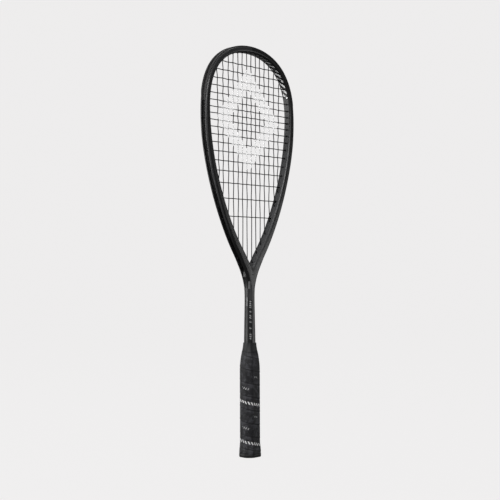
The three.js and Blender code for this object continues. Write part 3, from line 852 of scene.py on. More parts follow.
@dataclass(frozen=True)
class GripFinish:
    """Perforated wound tape with printed marks along it."""

    colour: Point = (0.0048, 0.0048, 0.0064)
    worn: Point = (0.058, 0.058, 0.066)
    ink: Point = (0.9, 0.9, 0.9)
    pitch: float = 0.022
    girth: float = 0.102
    pore: float = 0.0021
    phase: float = 0.5

    def material(self) -> bpy.types.Material:
        """The finish as a material."""
        return surface("grip", self._dress)

    def _dress(self, graph: Graph) -> dict[str, Any]:
        """Adds the pores, the pressed pattern, the printed marks and the wear.

        Args:
            graph: The material's graph.

        Returns:
            The shader's values by socket name.
        """
        vector, x, y, z = graph.place()
        settings = {"operation": "ARCTAN2"}
        angle = graph.node("ShaderNodeMath", settings, {0: x, 1: y * -1.0}) / (2 * math.pi)
        turns = z / self.pitch + angle - self.phase
        across = turns.fract()
        along = (angle - turns.floor()) * self.girth
        row = (across * self.pitch / self.pore).floor()
        cell_x = (along / self.pore + row * 0.5).fract() - 0.5
        cell_y = (across * self.pitch / self.pore).fract() - 0.5
        spread = graph.node(
            "ShaderNodeVectorMath", {"operation": "LENGTH"}, {0: graph.vector(cell_x, cell_y, 0.0)}, 1
        )
        pores = (1 - spread.ramp(0.14, 0.26)) * across.between(0.12, 0.88)
        pebble = graph.noise(vector, 1300.0, 3.0, 0.6)
        cloud = graph.noise(vector, 115.0, 4.0, 0.65)
        fine = graph.noise(vector, 380.0, 5.0, 0.68)
        seam = abs(across - 0.5).ramp(0.44, 0.5)
        tone = cloud.ramp(0.44, 0.64) * 0.8 + fine.ramp(0.5, 0.7) * 0.6 - pores * 0.6
        base = graph.mix(tone * (1 - seam), self.colour, self.worn)
        ink = self._print(turns, across, angle, z)
        return {
            "Base Color": graph.mix(ink * (0.7 + 0.3 * fine.ramp(0.3, 0.5)), base, self.ink),
            "Roughness": 0.58 + (cloud - 0.5) * 0.25 + (fine - 0.5) * 0.2,
            "Specular IOR Level": 0.45,
            "Normal": graph.bump(pebble * 0.3 + fine * 0.5 - pores * 0.8, 0.8, 0.0004),
        }

    def _print(self, turns: Term, across: Term, angle: Term, z: Term) -> Term:
        """Bold slanted bars on every third turn and small grey ones between them.

        Args:
            turns: The tape's turns up to the point.
            across: The share of the tape's width.
            angle: The share of the way round.
            z: The point's height.

        Returns:
            The print's strength.
        """
        third = (turns.floor() / 3.0).fract()
        bars = (angle * 19.0 + across * 2.2).fract().between(0.15, 0.62)
        bold = across.between(0.39, 0.59) * third.between(-0.1, 0.2) * bars * (z < 0.115)
        ticks = (angle * 26.0 - across * 3.0).fract().between(0.3, 0.72)
        left = across.between(0.47, 0.62) * third.between(0.2, 0.5) * angle.between(-0.26, -0.14)
        right = across.between(0.5, 0.62) * third.between(0.5, 0.9) * angle.between(-0.06, 0.04)
        return bold.biggest(left * ticks * 0.45).biggest(right * ticks * 0.4)


@dataclass(frozen=True)
class SteelFinish:
    """Bright drawn wire."""

    colour: Point = (0.55, 0.56, 0.58)

    def material(self) -> bpy.types.Material:
        """The finish as a material."""
        return surface("steel", self._dress)

    def _dress(self, graph: Graph) -> dict[str, Any]:
        """Adds fine drawing marks.

        Args:
            graph: The material's graph.

        Returns:
            The shader's values by socket name.
        """
        vector, _, _, _ = graph.place()
        marks = graph.noise(vector, 2200.0, 3.0)
        return {
            "Base Color": (*self.colour, 1.0),
            "Metallic": 1.0,
            "Roughness": 0.25 + marks * 0.2,
            "Normal": graph.bump(marks, 0.2, 0.0001),
        }


# --- The moulded frame ---


@dataclass
class MouldedFrame:
    """The carbon hairpin: shaft, throat and hoop."""

    line: LegLine
    groove_width: float = 7.6
    lip: float = 0.45
    steps: tuple[int, ...] = (24, 56, 90, 110)
    bar_heights: Pair = (611.0, 679.0)
    crotch_bands: tuple[float, ...] = (0.0045, 0.0022)
    crotch_drop: Pair = (0.052, 0.018)
    crotch_rounds: int = 24

    def outline(self, s: Station) -> list[Pair]:
        """The section's outline, from the inner face round the front to the outer groove and back.

        Args:
            s: The frame's section.

        Returns:
            The (across, deep) points.
        """
        half = s.depth / 2
        r = min(s.corner, (s.outer + s.inner) / 2 - 0.01)
        lip = self.lip * min(1.0, s.groove / 1.2 + 0.02)
        floor = s.outer - max(s.groove, 0.02)
        flat = half - r
        edge = min(self.groove_width / 2, flat - lip - 0.05)
        side = [(-s.inner, 0.0), (-s.inner, flat * 0.5), (-s.inner, flat * 0.9)]
        side += arc((r - s.inner, flat), r, 180, 90, 9)
        side += [((r - s.inner + s.outer - r) / 2, half)]
        side += arc((s.outer - r, flat), r, 90, 0, 9)
        side += arc((s.outer - lip, edge + lip), lip, 0, -90, 3)
        side += arc((floor + lip * 0.5, edge - lip * 0.5), lip * 0.5, 90, 180, 2)
        side += [(floor, edge * 0.5), (floor, 0.0)]
        return side + [(across, -deep) for across, deep in side[-2:0:-1]]

    def mesh(self) -> bpy.types.Mesh:
        """The whole frame as one skin with its run and face stored on it.

        Returns:
            The frame's mesh.
        """
        places = [p + k / n for p, n in enumerate(self.steps) for k in range(n)] + [self.line.top]
        stations = [self.line.at(place) for place in places]
        rows, runs, sides, run = [], [], [], 0.0
        for i, s in enumerate(stations):
            run += math.dist((s.x, s.z), (stations[i - 1].x, stations[i - 1].z)) * MM if i else 0.0
            for across, deep in self.outline(s):
                point = np.array(s.point(across, deep))
                point[0] = max(point[0], 0.0) if s.x > 1e-9 else 0.0
                rows.append(point)
                runs.append(run)
                sides.append(across / (s.outer if across > 0 else s.inner))
        size = len(rows) // len(stations)
        right = np.array(rows)
        left = right * (-1, 1, 1)
        faces = grid_faces(len(stations), size)
        other = [tuple(i + len(right) for i in face[::-1]) for face in faces]
        mesh = make_mesh("frame", np.vstack([right, left]), faces + other)
        store(mesh, "run", runs * 2)
        store(mesh, "face", sides * 2)
        self._close(mesh)
        return mesh

    def _close(self, mesh: bpy.types.Mesh) -> None:
        """Drops the walls inside the joined legs, welds the middle and rounds the crotch of the throat.

        Args:
            mesh: The mesh, changed in place.
        """
        work = bmesh.new()
        work.from_mesh(mesh)
        inside = [f for f in work.faces if all(abs(v.co.x) < 1e-7 for v in f.verts)]
        bmesh.ops.delete(work, geom=inside, context="FACES")
        bmesh.ops.remove_doubles(work, verts=work.verts, dist=4e-6)
        bmesh.ops.dissolve_degenerate(work, edges=work.edges, dist=2e-6)
        loose = [v for v in work.verts if not v.link_faces]
        bmesh.ops.delete(work, geom=loose, context="VERTS")
        edges = [e for e in work.edges if e.is_boundary]
        bmesh.ops.holes_fill(work, edges=edges, sides=0)
        middle = self.line.throat[1] * MM
        low, high = middle - self.crotch_drop[0], middle - self.crotch_drop[1]
        for reach in self.crotch_bands:
            near = [v for v in work.verts if abs(v.co.x) < reach and low < v.co.z < high]
            for _ in range(self.crotch_rounds):
                bmesh.ops.smooth_vert(
                    work, verts=near, factor=0.5, use_axis_x=False, use_axis_y=True, use_axis_z=True
                )
        bmesh.ops.recalc_face_normals(work, faces=work.faces)
        work.to_mesh(mesh)
        work.free()
        for polygon in mesh.polygons:
            polygon.use_smooth = True
        mesh.set_sharp_from_angle(angle=FRAME_SHARP_ANGLE)

    def build(self) -> None:
        """Makes the frame and dresses it."""
        mesh = self.mesh()
        add_piece("moulded_frame", mesh, self.finish(mesh).material(), ["frame"])

    def finish(self, mesh: bpy.types.Mesh) -> CarbonFinish:
        """The finish, with its bars' ends put at the right distances along the leg."""
        runs = [value.value for value in mesh.attributes["run"].data]
        heights = [vertex.co.z for vertex in mesh.vertices]
        reach = [max(r for r, z in zip(runs, heights) if z < height * MM) for height in self.bar_heights]
        return CarbonFinish(bar_run=(reach[0], reach[1]))


# --- Holes and strings ---


@dataclass(frozen=True)
class Hole:
    """A string's hole through the frame."""

    place: float
    side: int
    tie: bool
    kink: Point
    lean: Point
    turn: Point
    mouth: Point


@dataclass
class StringPlan:
    """Where every string runs and where its holes are."""

    line: LegLine
    diameter: float = 1.3
    fullness: float = 1.14
    clearance: float = 0.3
    main_gaps: tuple[float, ...] = (5.2, 10.3, 10.15, 10.85, 11.2, 12.1, 13.2)
    drops: tuple[float, ...] = (
        32.2, 46.4, 60.7, 73.5, 85.8, 97.6, 108.5, 119.1, 129.7,
        141.1, 153, 165.8, 179.9, 195.1, 211.2, 230.9, 256.1, 285.3,
    )
    lean: float = 0.35
    stand: float = 1.7
    splay: float = 4.0
    loop_level: float = -0.55
    loop_offset: float = 1.6
    weave: Pair = (0.42, 1.14)
    edge_weave: Pair = (1.0, 1.0)
    edge_zone: float = 9.0
    tie_offset: float = 0.85
    tail: float = 0.4
    main_tie_top: int = 5
    main_tie_foot: int = 4
    cross_tie: int = 16
    mains: list[tuple[Hole, Hole]] = field(default_factory=list)
    crosses: list[tuple[Hole, Hole]] = field(default_factory=list)

    def __post_init__(self) -> None:
        """Finds every hole."""
        top = self.line.top
        xs = np.cumsum(self.main_gaps)
        for side in (-1, 1):
            row = []
            for i, x in enumerate(xs):
                foot_x = x - (self.splay if i == len(xs) - 1 else 0.0)
                foot = self.where(0, foot_x, 1.2, 3.0)
                head = self.where(0, x, 3.0, top)
                row.append((
                    self.hole(foot, side, (0, 0, -1), side < 0 and i == self.main_tie_foot),
                    self.hole(head, side, (0, 0, 1), side < 0 and i == self.main_tie_top),
                ))
            self.mains += row[::-1] if side < 0 else row
        for j, drop in enumerate(self.drops):
            place = self.where(2, self.line.length - drop, 1.5, top)
            ends = [self.hole(place, side, (side, 0, 0), j == self.cross_tie) for side in (-1, 1)]
            self.crosses.append((ends[0], ends[1]))

    def kink_at(self, s: Station) -> Point:
        """The point inside the hoop where a string bends into its grommet."""
        return s.point(-(s.inner + self.stand), 0.0)

    def where(self, axis: int, value: float, low: float, high: float) -> float:
        """The place whose kink has the given X or Z."""
        return self.line.seek(lambda place: self.kink_at(self.line.at(place))[axis] - value, low, high)

    def hole(self, place: float, side: int, pull: Point, tie: bool) -> Hole:
        """The hole at a place on one side, leaning towards its string.

        Args:
            place: Its place on the leg.
            side: 1 on the right and -1 on the left.
            pull: The way its string pulls.
            tie: Whether another string's end shares it.

        Returns:
            The hole.
        """
        s = self.line.at(place)
        s = s.flipped() if side < 0 else s
        out = np.array([s.out_x, 0.0, s.out_z])
        lean = out + self.lean * np.array(pull, float)
        lean /= np.linalg.norm(lean)
        kink = np.array(self.kink_at(s))
        reach = (s.inner + self.stand + s.outer + self.loop_level) / float(lean @ out)
        return Hole(
            place, side, tie, tuple(kink), tuple(lean),
            tuple(kink + lean * reach), tuple(kink + lean * 0.5),
        )

    def holes(self) -> list[Hole]:
        """Every hole."""
        return [hole for pair in self.mains + self.crosses for hole in pair]

    def loop(self, start: Hole, end: Hole, offset: float) -> list[Point]:
        """Points of the loop outside the frame from one hole to the next.

        Args:
            start: The hole that the string leaves.
            end: The hole that it enters.
            offset: How far to one side of the groove's middle it lies.

        Returns:
            The points between the holes.
        """
        whole = [2 * self.line.top - h.place if h.side < 0 else h.place for h in (start, end)]
        gap = math.dist(start.turn, end.turn)
        count = max(3, round(gap / 2.5))
        points = []
        for k in range(1, count + 1):
            s = self.line.at(float(np.interp(k / (count + 1), (0, 1), whole)))
            points.append(s.point(s.outer + self.loop_level, offset))
        return points

    def through(self, hole: Hole, shift: float) -> tuple[Point, Point]:
        """A hole's kink and turn, shifted through Y where two strings share the hole."""
        deep = shift if hole.tie else 0.0
        return (hole.kink[0], deep, hole.kink[2]), (hole.turn[0], deep, hole.turn[2])

    def tie_off(self, hole: Hole, shift: float) -> list[Point]:
        """The string's end, brought back in through a shared hole."""
        kink, turn = self.through(hole, shift)
        tail = tuple(np.array(kink) - self.tail * np.array(hole.lean))
        return [turn, kink, tail]

    @staticmethod
    def in_front(i: int, j: int) -> bool:
        """Whether main i passes in front of cross j."""
        return (i + j) % 2 == 0

    def main_x(self, i: int, z: float) -> float:
        """Where main i is at a height."""
        foot, head = (hole.kink for hole in self.mains[i])
        return float(np.interp(z, (foot[2], head[2]), (foot[0], head[0])))

    def swell(self, knots: Sequence[tuple[float, float]], start: Point, end: Point, axis: int) -> list[Point]:
        """A run that waves through (distance, Y) knots between two points.

        Args:
            knots: Where the run stands off the plane, and how far.
            start: The first point.
            end: The last point.
            axis: The axis of the knots' distances.

        Returns:
            The run's points.
        """
        a, b = np.array(start), np.array(end)
        keys = [a[axis]] + [k for k, _ in knots] + [b[axis]]
        ys = [a[1]] + [v for _, v in knots] + [b[1]]
        order = np.argsort(keys)
        keys, ys = np.array(keys)[order], np.array(ys)[order]
        steps = max(2, round(abs(b[axis] - a[axis]) / 1.5))
        points = []
        for share in np.linspace(0, 1, steps + 1):
            spot = a + (b - a) * share
            n = min(max(int(np.searchsorted(keys, spot[axis])) - 1, 0), len(keys) - 2)
            part = (spot[axis] - keys[n]) / (keys[n + 1] - keys[n])
            spot[1] = ys[n] + (ys[n + 1] - ys[n]) * (1 - math.cos(math.pi * part)) / 2
            points.append(tuple(spot))
        return points

    def stand_off(self, i: int, j: int) -> Pair:
        """How far a main and a cross stand off the plane where they pass each other.

        Args:
            i: The main's number, from the left.
            j: The cross's number, from the top.

        Returns:
            The main's and the cross's distance from the plane, larger beside the frame.
        """
        z = self.line.length - self.drops[j]
        x = self.main_x(i, z)
        foot, head = (self.through(hole, self.tie_offset)[0][2] for hole in self.mains[i])
        left, right = (self.through(hole, -self.tie_offset)[0][0] for hole in self.crosses[j])
        near = min(x - left, right - x, z - foot, head - z) < self.edge_zone
        return self.edge_weave if near else self.weave

    def main_route(self) -> list[Point]:
        """The points of the string that makes the mains.

        Returns:
            The points in order.
        """
        route: list[Point] = []
        for i, (foot, head) in enumerate(self.mains):
            low, high = self.through(foot, self.tie_offset)[0], self.through(head, self.tie_offset)[0]
            knots = [
                (self.line.length - drop, self.stand_off(i, j)[0] * (-1 if self.in_front(i, j) else 1))
                for j, drop in enumerate(self.drops)
                if low[2] + 1.5 < self.line.length - drop < high[2] - 1.5
            ]
            run = self.swell(knots, low, high, 2)
            rising = i % 2 == 0
            first, last = (foot, head) if rising else (head, foot)
            route.append(self.through(first, self.tie_offset)[1])
            route += run if rising else run[::-1]
            route.append(self.through(last, self.tie_offset)[1])
            if i + 1 < len(self.mains):
                route += self.loop(last, self.mains[i + 1][1 if rising else 0], self.loop_offset)
        left, right = self.crosses[self.cross_tie]
        before = self.loop(self.mains[0][0], left, self.loop_offset) + self.tie_off(left, self.tie_offset)
        after = self.loop(self.mains[-1][0], right, self.loop_offset) + self.tie_off(right, self.tie_offset)
        return before[::-1] + route + after

    def cross_route(self) -> list[Point]:
        """The points of the string that makes the crosses.

        Returns:
            The points in order.
        """
        route: list[Point] = []
        for j, (left, right) in enumerate(self.crosses):
            z = self.line.length - self.drops[j]
            low, high = self.through(left, -self.tie_offset)[0], self.through(right, -self.tie_offset)[0]
            knots = [
                (self.main_x(i, z), self.stand_off(i, j)[1] * (1 if self.in_front(i, j) else -1))
                for i in range(len(self.mains))
                if low[0] + 0.8 < self.main_x(i, z) < high[0] - 0.8
            ]
            run = self.swell(knots, low, high, 0)
            rightward = j % 2 == 0
            first, last = (left, right) if rightward else (right, left)
            route.append(self.through(first, -self.tie_offset)[1])
            route += run if rightward else run[::-1]
            route.append(self.through(last, -self.tie_offset)[1])
            if j + 1 < len(self.crosses):
                route += self.loop(last, self.crosses[j + 1][1 if rightward else 0], -self.loop_offset)
        count = len(self.main_gaps)
        head = self.mains[count - 1 - self.main_tie_top][1]
        foot = self.mains[count - 1 - self.main_tie_foot][0]
        before = self.loop(self.crosses[0][0], head, -self.loop_offset) + self.tie_off(head, -self.tie_offset)
        after = self.loop(self.crosses[-1][0], foot, -self.loop_offset) + self.tie_off(foot, -self.tie_offset)
        return before[::-1] + route + after


@dataclass
class StringBed:
    """The two lengths of string."""

    plan: StringPlan
    sides: int = 10

    @staticmethod
    def rounded(points: Sequence[Point]) -> np.ndarray:
        """The route with its corners cut once, close to each corner.

        Args:
            points: The route.

        Returns:
            The route with twice as many points.
        """
        route = np.array(points, float)
        steps = np.diff(route, axis=0)
        lengths = np.linalg.norm(steps, axis=1, keepdims=True)
        share = np.minimum(0.25, 0.8 / np.maximum(lengths, 1e-6))
        near = route[:-1] + steps * share
        far = route[1:] - steps * share
        cut = np.stack([near, far], axis=1).reshape(-1, 3)
        return np.vstack([route[:1], cut, route[-1:]])

    def build(self) -> None:
        """Makes and dresses both strings."""
        growth = tube_growth()
        material = StringFinish().material()
        routes = {"main_string": self.plan.main_route(), "cross_string": self.plan.cross_route()}
        for name, route in routes.items():
            points = self.rounded(route) * MM
            curve = bpy.data.curves.new(name, "CURVE")
            curve.dimensions = "3D"
            spline = curve.splines.new("POLY")
            spline.points.add(len(points) - 1)
            spline.points.foreach_set("co", np.hstack([points, np.ones((len(points), 1))]).ravel())
            radius = self.plan.diameter / 2 * self.plan.fullness * MM
            values = {"Radius": radius, "Sides": self.sides, "Finish": material}
            mesh = growth.grow(name, curve, values)
            add_piece(name + "_strung", mesh, material, [name])


# --- Grommets and bumper ---


@dataclass
class Grommets:
    """The strips in the groove, the bumper guard and every barrel."""

    plan: StringPlan
    groove_width: float = 7.6
    strip_thickness: float = 1.0
    barrel_radius: float = 1.4
    bore_radius: float = 0.84
    barrel_sides: int = 16
    tie_radius: float = 2.15
    bumper_width: float = 12.2
    bumper_slot: float = 5.0
    bumper_tip: float = 14.0
    strip_stop: float = 16.2
    head_length: float = 6.0

    def __post_init__(self) -> None:
        """Works out where each strip starts and ends."""
        line = self.plan.line
        self.bumper_start = line.place_at_height(line.bumper_end)
        self.strip_start = line.place_at_height(line.throat[1] - self.strip_stop)
        self.floor = -line.groove_depth + self.plan.clearance
        self.top = self.floor + self.strip_thickness
        self.half = self.groove_width / 2 - self.plan.clearance

    def sweep(
        self, start: float, end: float, count: int, outline: Callable[[float], list[Pair]]
    ) -> bpy.types.Mesh:
        """A strip along the groove.

        Args:
            start: The first place.
            end: The last place.
            count: The number of steps.
            outline: The (level, deep) section at each share of the way.

        Returns:
            The closed mesh.
        """
        points = []
        for k in range(count + 1):
            s = self.plan.line.at(start + (end - start) * k / count)
            ring = outline(k / count)
            points += [s.point(s.outer + level, deep) for level, deep in ring]
        size = len(points) // (count + 1)
        faces = grid_faces(count + 1, size) + cap_faces(count + 1, size)
        mesh = make_mesh("strip", np.array(points), faces)
        tidy(mesh)
        return mesh

    def strip_outline(self, _: float) -> list[Pair]:
        """The flat strip's section, with softened upper edges.

        Returns:
            The (level, deep) points.
        """
        r = 0.3
        side = [(self.floor, self.half), (self.top - r, self.half)] + [
            (self.top - r + r * math.sin(a), self.half - r + r * math.cos(a))
            for a in np.linspace(0.3, math.pi / 2, 4)
        ]
        return side + [(level, -deep) for level, deep in side[::-1]]

    def bumper_outline(self, share: float, length: float) -> list[Pair]:
        """The bumper's section: its foot, its rounded flanges and the slot for the strings.

        Args:
            share: The share of the way along the guard.
            length: The guard's length.

        Returns:
            The (level, deep) points.
        """
        to_tip = min(share, 1 - share) * length
        spread = min(1.0, to_tip / self.bumper_tip)
        spread = math.sin(spread * math.pi / 2)
        flange = self.half + 0.2 + (self.bumper_width / 2 - self.half - 0.2) * spread
        proud = 0.6 + (self.plan.line.bumper_proud - 0.6) * spread
        slot, r = self.bumper_slot / 2, 0.32
        under = self.plan.clearance
        side = [(self.floor, self.half), (under, self.half), (under, flange - 0.15)]
        side += [(under + 0.15, flange), (under + (proud - under) * 0.45, flange)]
        crown = (slot + flange) / 2 + 0.4
        for a in np.linspace(0.15, 1.0, 5):
            side.append((
                under + (proud - under) * (0.45 + 0.55 * math.sin(a * math.pi / 2)),
                crown + (flange - crown) * math.cos(a * math.pi / 2),
            ))
        side += [(proud, slot + r), (proud - r * 0.3, slot + r * 0.3), (proud - r, slot)]
        side += [(self.top, slot), (self.top, slot * 0.5)]
        return side + [(level, -deep) for level, deep in side[::-1]]

    def barrel(self) -> bpy.types.Object:
        """One barrel standing on +Z, its rim rounded, from inside the frame to its open mouth.

        Returns:
            The barrel, to be set on every hole.
        """
        outer, bore = self.barrel_radius, self.bore_radius
        rim = (outer + bore) / 2
        profile = [(bore, 3.0), (bore, 0.35), (bore + 0.1, 0.08), (rim, 0.0), (outer - 0.12, 0.07)]
        profile += [(outer, 0.35), (outer + 0.05, 1.1), (outer + 0.12, 3.0)]
        size = self.barrel_sides
        angles = np.linspace(0, 2 * math.pi, size, endpoint=False)
        points = [(r * math.cos(a), r * math.sin(a), z) for r, z in profile for a in angles]
        loop = len(profile)
        faces = grid_faces(loop, size)
        last = (loop - 1) * size
        faces += [(last + i, last + (i + 1) % size, (i + 1) % size, i) for i in range(size)]
        mesh = make_mesh("barrel", np.array(points), faces)
        tidy(mesh, Shading.SMOOTH)
        return new_object("barrel_pattern", mesh)

    def barrels(self, growth: Growth, holes: Sequence[Hole], pattern: bpy.types.Object) -> bpy.types.Mesh:
        """The barrels of some holes as one mesh.

        Args:
            growth: The tree that sets barrels.
            holes: The holes.
            pattern: The barrel.

        Returns:
            The barrels' mesh.
        """
        mouths = np.array([hole.mouth for hole in holes])
        seed = make_mesh("mouths", mouths, [])
        aim = seed.attributes.new("aim", "FLOAT_VECTOR", "POINT")
        aim.data.foreach_set("vector", np.array([hole.lean for hole in holes], np.float32).ravel())
        tie_scale = self.tie_radius / self.barrel_radius
        store(seed, "size", [tie_scale if hole.tie else 1.0 for hole in holes])
        return growth.grow("barrels", seed, {"Barrel": pattern})

    def build(self) -> None:
        """Makes and dresses the guard, the strips and the single grommets."""
        line, growth, pattern = self.plan.line, barrel_growth(), self.barrel()
        grommet = MouldedFinish("grommet", (0.0014, 0.0014, 0.0015), 0.6, gloss=0.12).material()
        rubbery = MouldedFinish("bumper", (0.03, 0.029, 0.0295), 0.5, grain=1100.0).material()
        rise = line.top_z - line.bumper_end
        length = math.pi * math.hypot(line.half, rise) * math.sqrt(0.5)
        end = 2 * line.top - self.bumper_start
        parts = {
            "bumper_guard": (self.bumper_start, end, 260, lambda share: self.bumper_outline(share, length)),
            "grommet_strip_right": (self.strip_start, self.bumper_start - 0.012, 130, self.strip_outline),
            "grommet_strip_left": (end + 0.012, 2 * line.top - self.strip_start, 130, self.strip_outline),
        }
        for side, name in ((1, "throat_grommet_right"), (-1, "throat_grommet_left")):
            hole = next(h for h in self.plan.holes() if h.side == side and h.place < self.strip_start)
            seat = line.seek(lambda p: self._shadow(p, hole), 1.1, self.strip_start)
            reach = self.head_length / 2 / 88
            first, last = seat - reach, seat + reach
            if side < 0:
                first, last = 2 * line.top - last, 2 * line.top - first
            parts[name] = (first, last, 8, self.strip_outline)
        for name, (first, last, count, outline) in parts.items():
            whole = [h for h in self.plan.holes() if first <= self._unfolded(h) <= last]
            if name.startswith("throat"):
                right = last < line.top
                low = [h for h in self.plan.holes() if h.place < self.strip_start]
                whole = [h for h in low if (h.side > 0) == right]
            strip = self.sweep(first, last, count, outline)
            barrels = self.barrels(growth, whole, pattern)
            mesh = join(name, [strip, barrels])
            for polygon in mesh.polygons:
                polygon.use_smooth = True
            mesh.set_sharp_from_angle(angle=SHARP_ANGLE)
            slot = "bumper" if name == "bumper_guard" else "grommet"
            add_piece(name + "_moulded", mesh, rubbery if slot == "bumper" else grommet, [name])
        bpy.data.objects.remove(pattern)

    def _unfolded(self, hole: Hole) -> float:
        """A hole's place on the whole hairpin, from the right foot to the left one."""
        return 2 * self.plan.line.top - hole.place if hole.side < 0 else hole.place

    def _shadow(self, place: float, hole: Hole) -> float:
        """How far along the leg a place lies past a hole's outer end."""
        s = self.plan.line.at(place)
        x, _, z = s.point(s.outer + self.plan.loop_level, 0.0)
        return (x - abs(hole.turn[0])) * -s.out_z + (z - hole.turn[2]) * s.out_x


# --- The handle ---


@dataclass
class Handle:
    """The wound grip, its collar, the butt cap and the pieces inside."""

    line: LegLine
    width: float = 33.0
    depth: float = 29.7
    flat_x: float = 18.1
    flat_y: float = 14.9
    rounding: float = 3.2
    thickness: float = 1.8
    start: float = 6.0
    end: float = 175.0
    collar_end: float = 190.5
    flare: float = 1.9
    flare_start: float = 25.0
    pitch: float = 22.0
    phase: float = 0.5
    ridge: float = 0.45
    seat_width: float = 22.6
    badge_width: float = 22.0
    sides: int = 144

    def angles(self) -> np.ndarray:
        """The directions of a ring's points."""
        return np.linspace(0, 2 * math.pi, self.sides, endpoint=False)

    def octagon(self, grow: float, scale: float = 1.0) -> np.ndarray:
        """The distance from the axis to a soft-edged octagon in every ring direction.

        Args:
            grow: How much further out it lies.
            scale: Its share of the full size.

        Returns:
            The distances.
        """
        hx, hy = self.width / 2 * scale + grow, self.depth / 2 * scale + grow
        fx, fy = self.flat_x / 2 * scale, self.flat_y / 2 * scale
        r = self.rounding * scale
        corners = np.array([
            (hx, fy), (fx, hy), (-fx, hy), (-hx, fy), (-hx, -fy), (-fx, -hy), (fx, -hy), (hx, -fy),
        ])
        outline = []
        for i, corner in enumerate(corners):
            before, after = corners[i - 1], corners[(i + 1) % 8]
            a = corner + (before - corner) * min(0.45, r / np.linalg.norm(before - corner))
            b = corner + (after - corner) * min(0.45, r / np.linalg.norm(after - corner))
            for t in np.linspace(0, 1, 7):
                outline.append(a * (1 - t) ** 2 + corner * 2 * t * (1 - t) + b * t * t)
            flat = after + (corner - after) * min(0.45, r / np.linalg.norm(after - corner))
            outline += [b + (flat - b) * t for t in np.linspace(0, 1, 17)[1:-1]]
        outline = np.array(outline)
        angle = np.unwrap(np.arctan2(outline[:, 1], outline[:, 0]))
        radius = np.hypot(outline[:, 0], outline[:, 1])
        order = np.argsort(angle % (2 * math.pi))
        keys, values = (angle % (2 * math.pi))[order], radius[order]
        return np.interp(self.angles(), keys, values, period=2 * math.pi)

    def ring(self, z: float, radius: np.ndarray) -> np.ndarray:
        """Points at a height and the given distances from the axis."""
        a = self.angles()
        return np.column_stack([radius * np.cos(a), radius * np.sin(a), np.full_like(a, z)])

    def shaft(self, z: float, grow: float) -> np.ndarray:
        """The distance from the axis to the shaft's outline in every ring direction.

        Args:
            z: The height.
            grow: How much further out it lies.

        Returns:
            The distances.
        """
        (low, low_width, low_depth), (neck, width, depth) = self.line.shaft
        half_x = blend(z, [(low, low_width / 2), (neck, width / 2)]) + grow
        half_y = blend(z, [(low, low_depth / 2), (neck, depth / 2)]) + grow
        a, power = self.angles(), 3.2
        return (np.abs(np.cos(a) / half_x) ** power + np.abs(np.sin(a) / half_y) ** power) ** (-1 / power)

    def swollen(self, z: float) -> float:
        """The flare's extra radius at a height."""
        s = self.flare_start
        shares = [(0, 1.0), (self.start, 1.0), (0.44 * s, 0.94), (0.58 * s, 0.7)]
        shares += [(0.72 * s, 0.38), (0.86 * s, 0.12), (s, 0.0)]
        return self.flare * blend(z, shares)

    def shoulder(self, z: float) -> float:
        """The share of the full size at a height."""
        drops = [(-28.5, 1.0), (-24, 0.99), (-20.7, 0.978), (-13.8, 0.935), (-6.9, 0.88), (0, 0.8)]
        return blend(z - self.end, drops)

    def solid(self, name: str, rings: Sequence[np.ndarray]) -> bpy.types.Mesh:
        """A closed skin through rings that starts and ends on the same ring.

        Args:
            name: The mesh's name.
            rings: The rings in order.

        Returns:
            The closed mesh.
        """
        count = len(rings)
        faces = grid_faces(count, self.sides)
        mesh = make_mesh(name, np.vstack(rings), faces)
        tidy(mesh)
        return mesh

    def grip(self) -> bpy.types.Mesh:
        """The wound tape as a sleeve with its spiral lap raised on it.

        Returns:
            The sleeve's mesh.
        """
        rows = np.linspace(self.start, self.end - 0.3, 230)
        angle = np.where(self.angles() > math.pi, self.angles() - 2 * math.pi, self.angles())
        outside = []
        for z in rows:
            base = self.octagon(self.swollen(z), self.shoulder(z))
            around = np.arctan2(np.cos(angle), -np.sin(angle)) / (2 * math.pi)
            across = (z / self.pitch + around - self.phase) % 1.0
            lap = np.exp(-(((across - 0.06) / 0.05) ** 2)) - 0.9 * np.exp(-(((across - 0.955) / 0.035) ** 2))
            crown = 0.25 * np.sin(across * math.pi)
            end_fade = min(1.0, (z - self.start) / 2 + 0.2, (self.end - z) / 3)
            relief = self.ridge * (0.55 * lap + crown) * end_fade
            outside.append(self.ring(z, base - self.ridge * 0.6 + relief))
        inside = [
            self.ring(z, self.octagon(self.swollen(z) - self.thickness, self.shoulder(z)))
            for z in np.linspace(self.end - 0.3, self.start, 30)
        ]
        return self.solid("grip", outside + inside + outside[:1])

    def collar(self) -> bpy.types.Mesh:
        """The rubber collar, from the grip's end to its thin lip on the shaft.

        Returns:
            The collar's mesh.
        """
        wide = self.octagon(0.0, self.shoulder(self.end))
        rings = []
        for share in np.linspace(0, 1, 26):
            z = self.end + (self.collar_end - self.end) * share
            slim = self.shaft(z, 0.95)
            fade = (1 - share) ** 1.35
            bead = 0.35 * math.exp(-(((share - 0.06) / 0.05) ** 2))
            bead += 0.22 * math.exp(-(((share - 0.95) / 0.035) ** 2))
            rings.append(self.ring(z, slim * (1 - fade) + (wide - 0.4) * fade + bead))
        inner = [self.ring(z, self.shaft(z, 0.35)) for z in (self.collar_end, self.end)]
        return self.solid("collar", rings + inner + rings[:1])

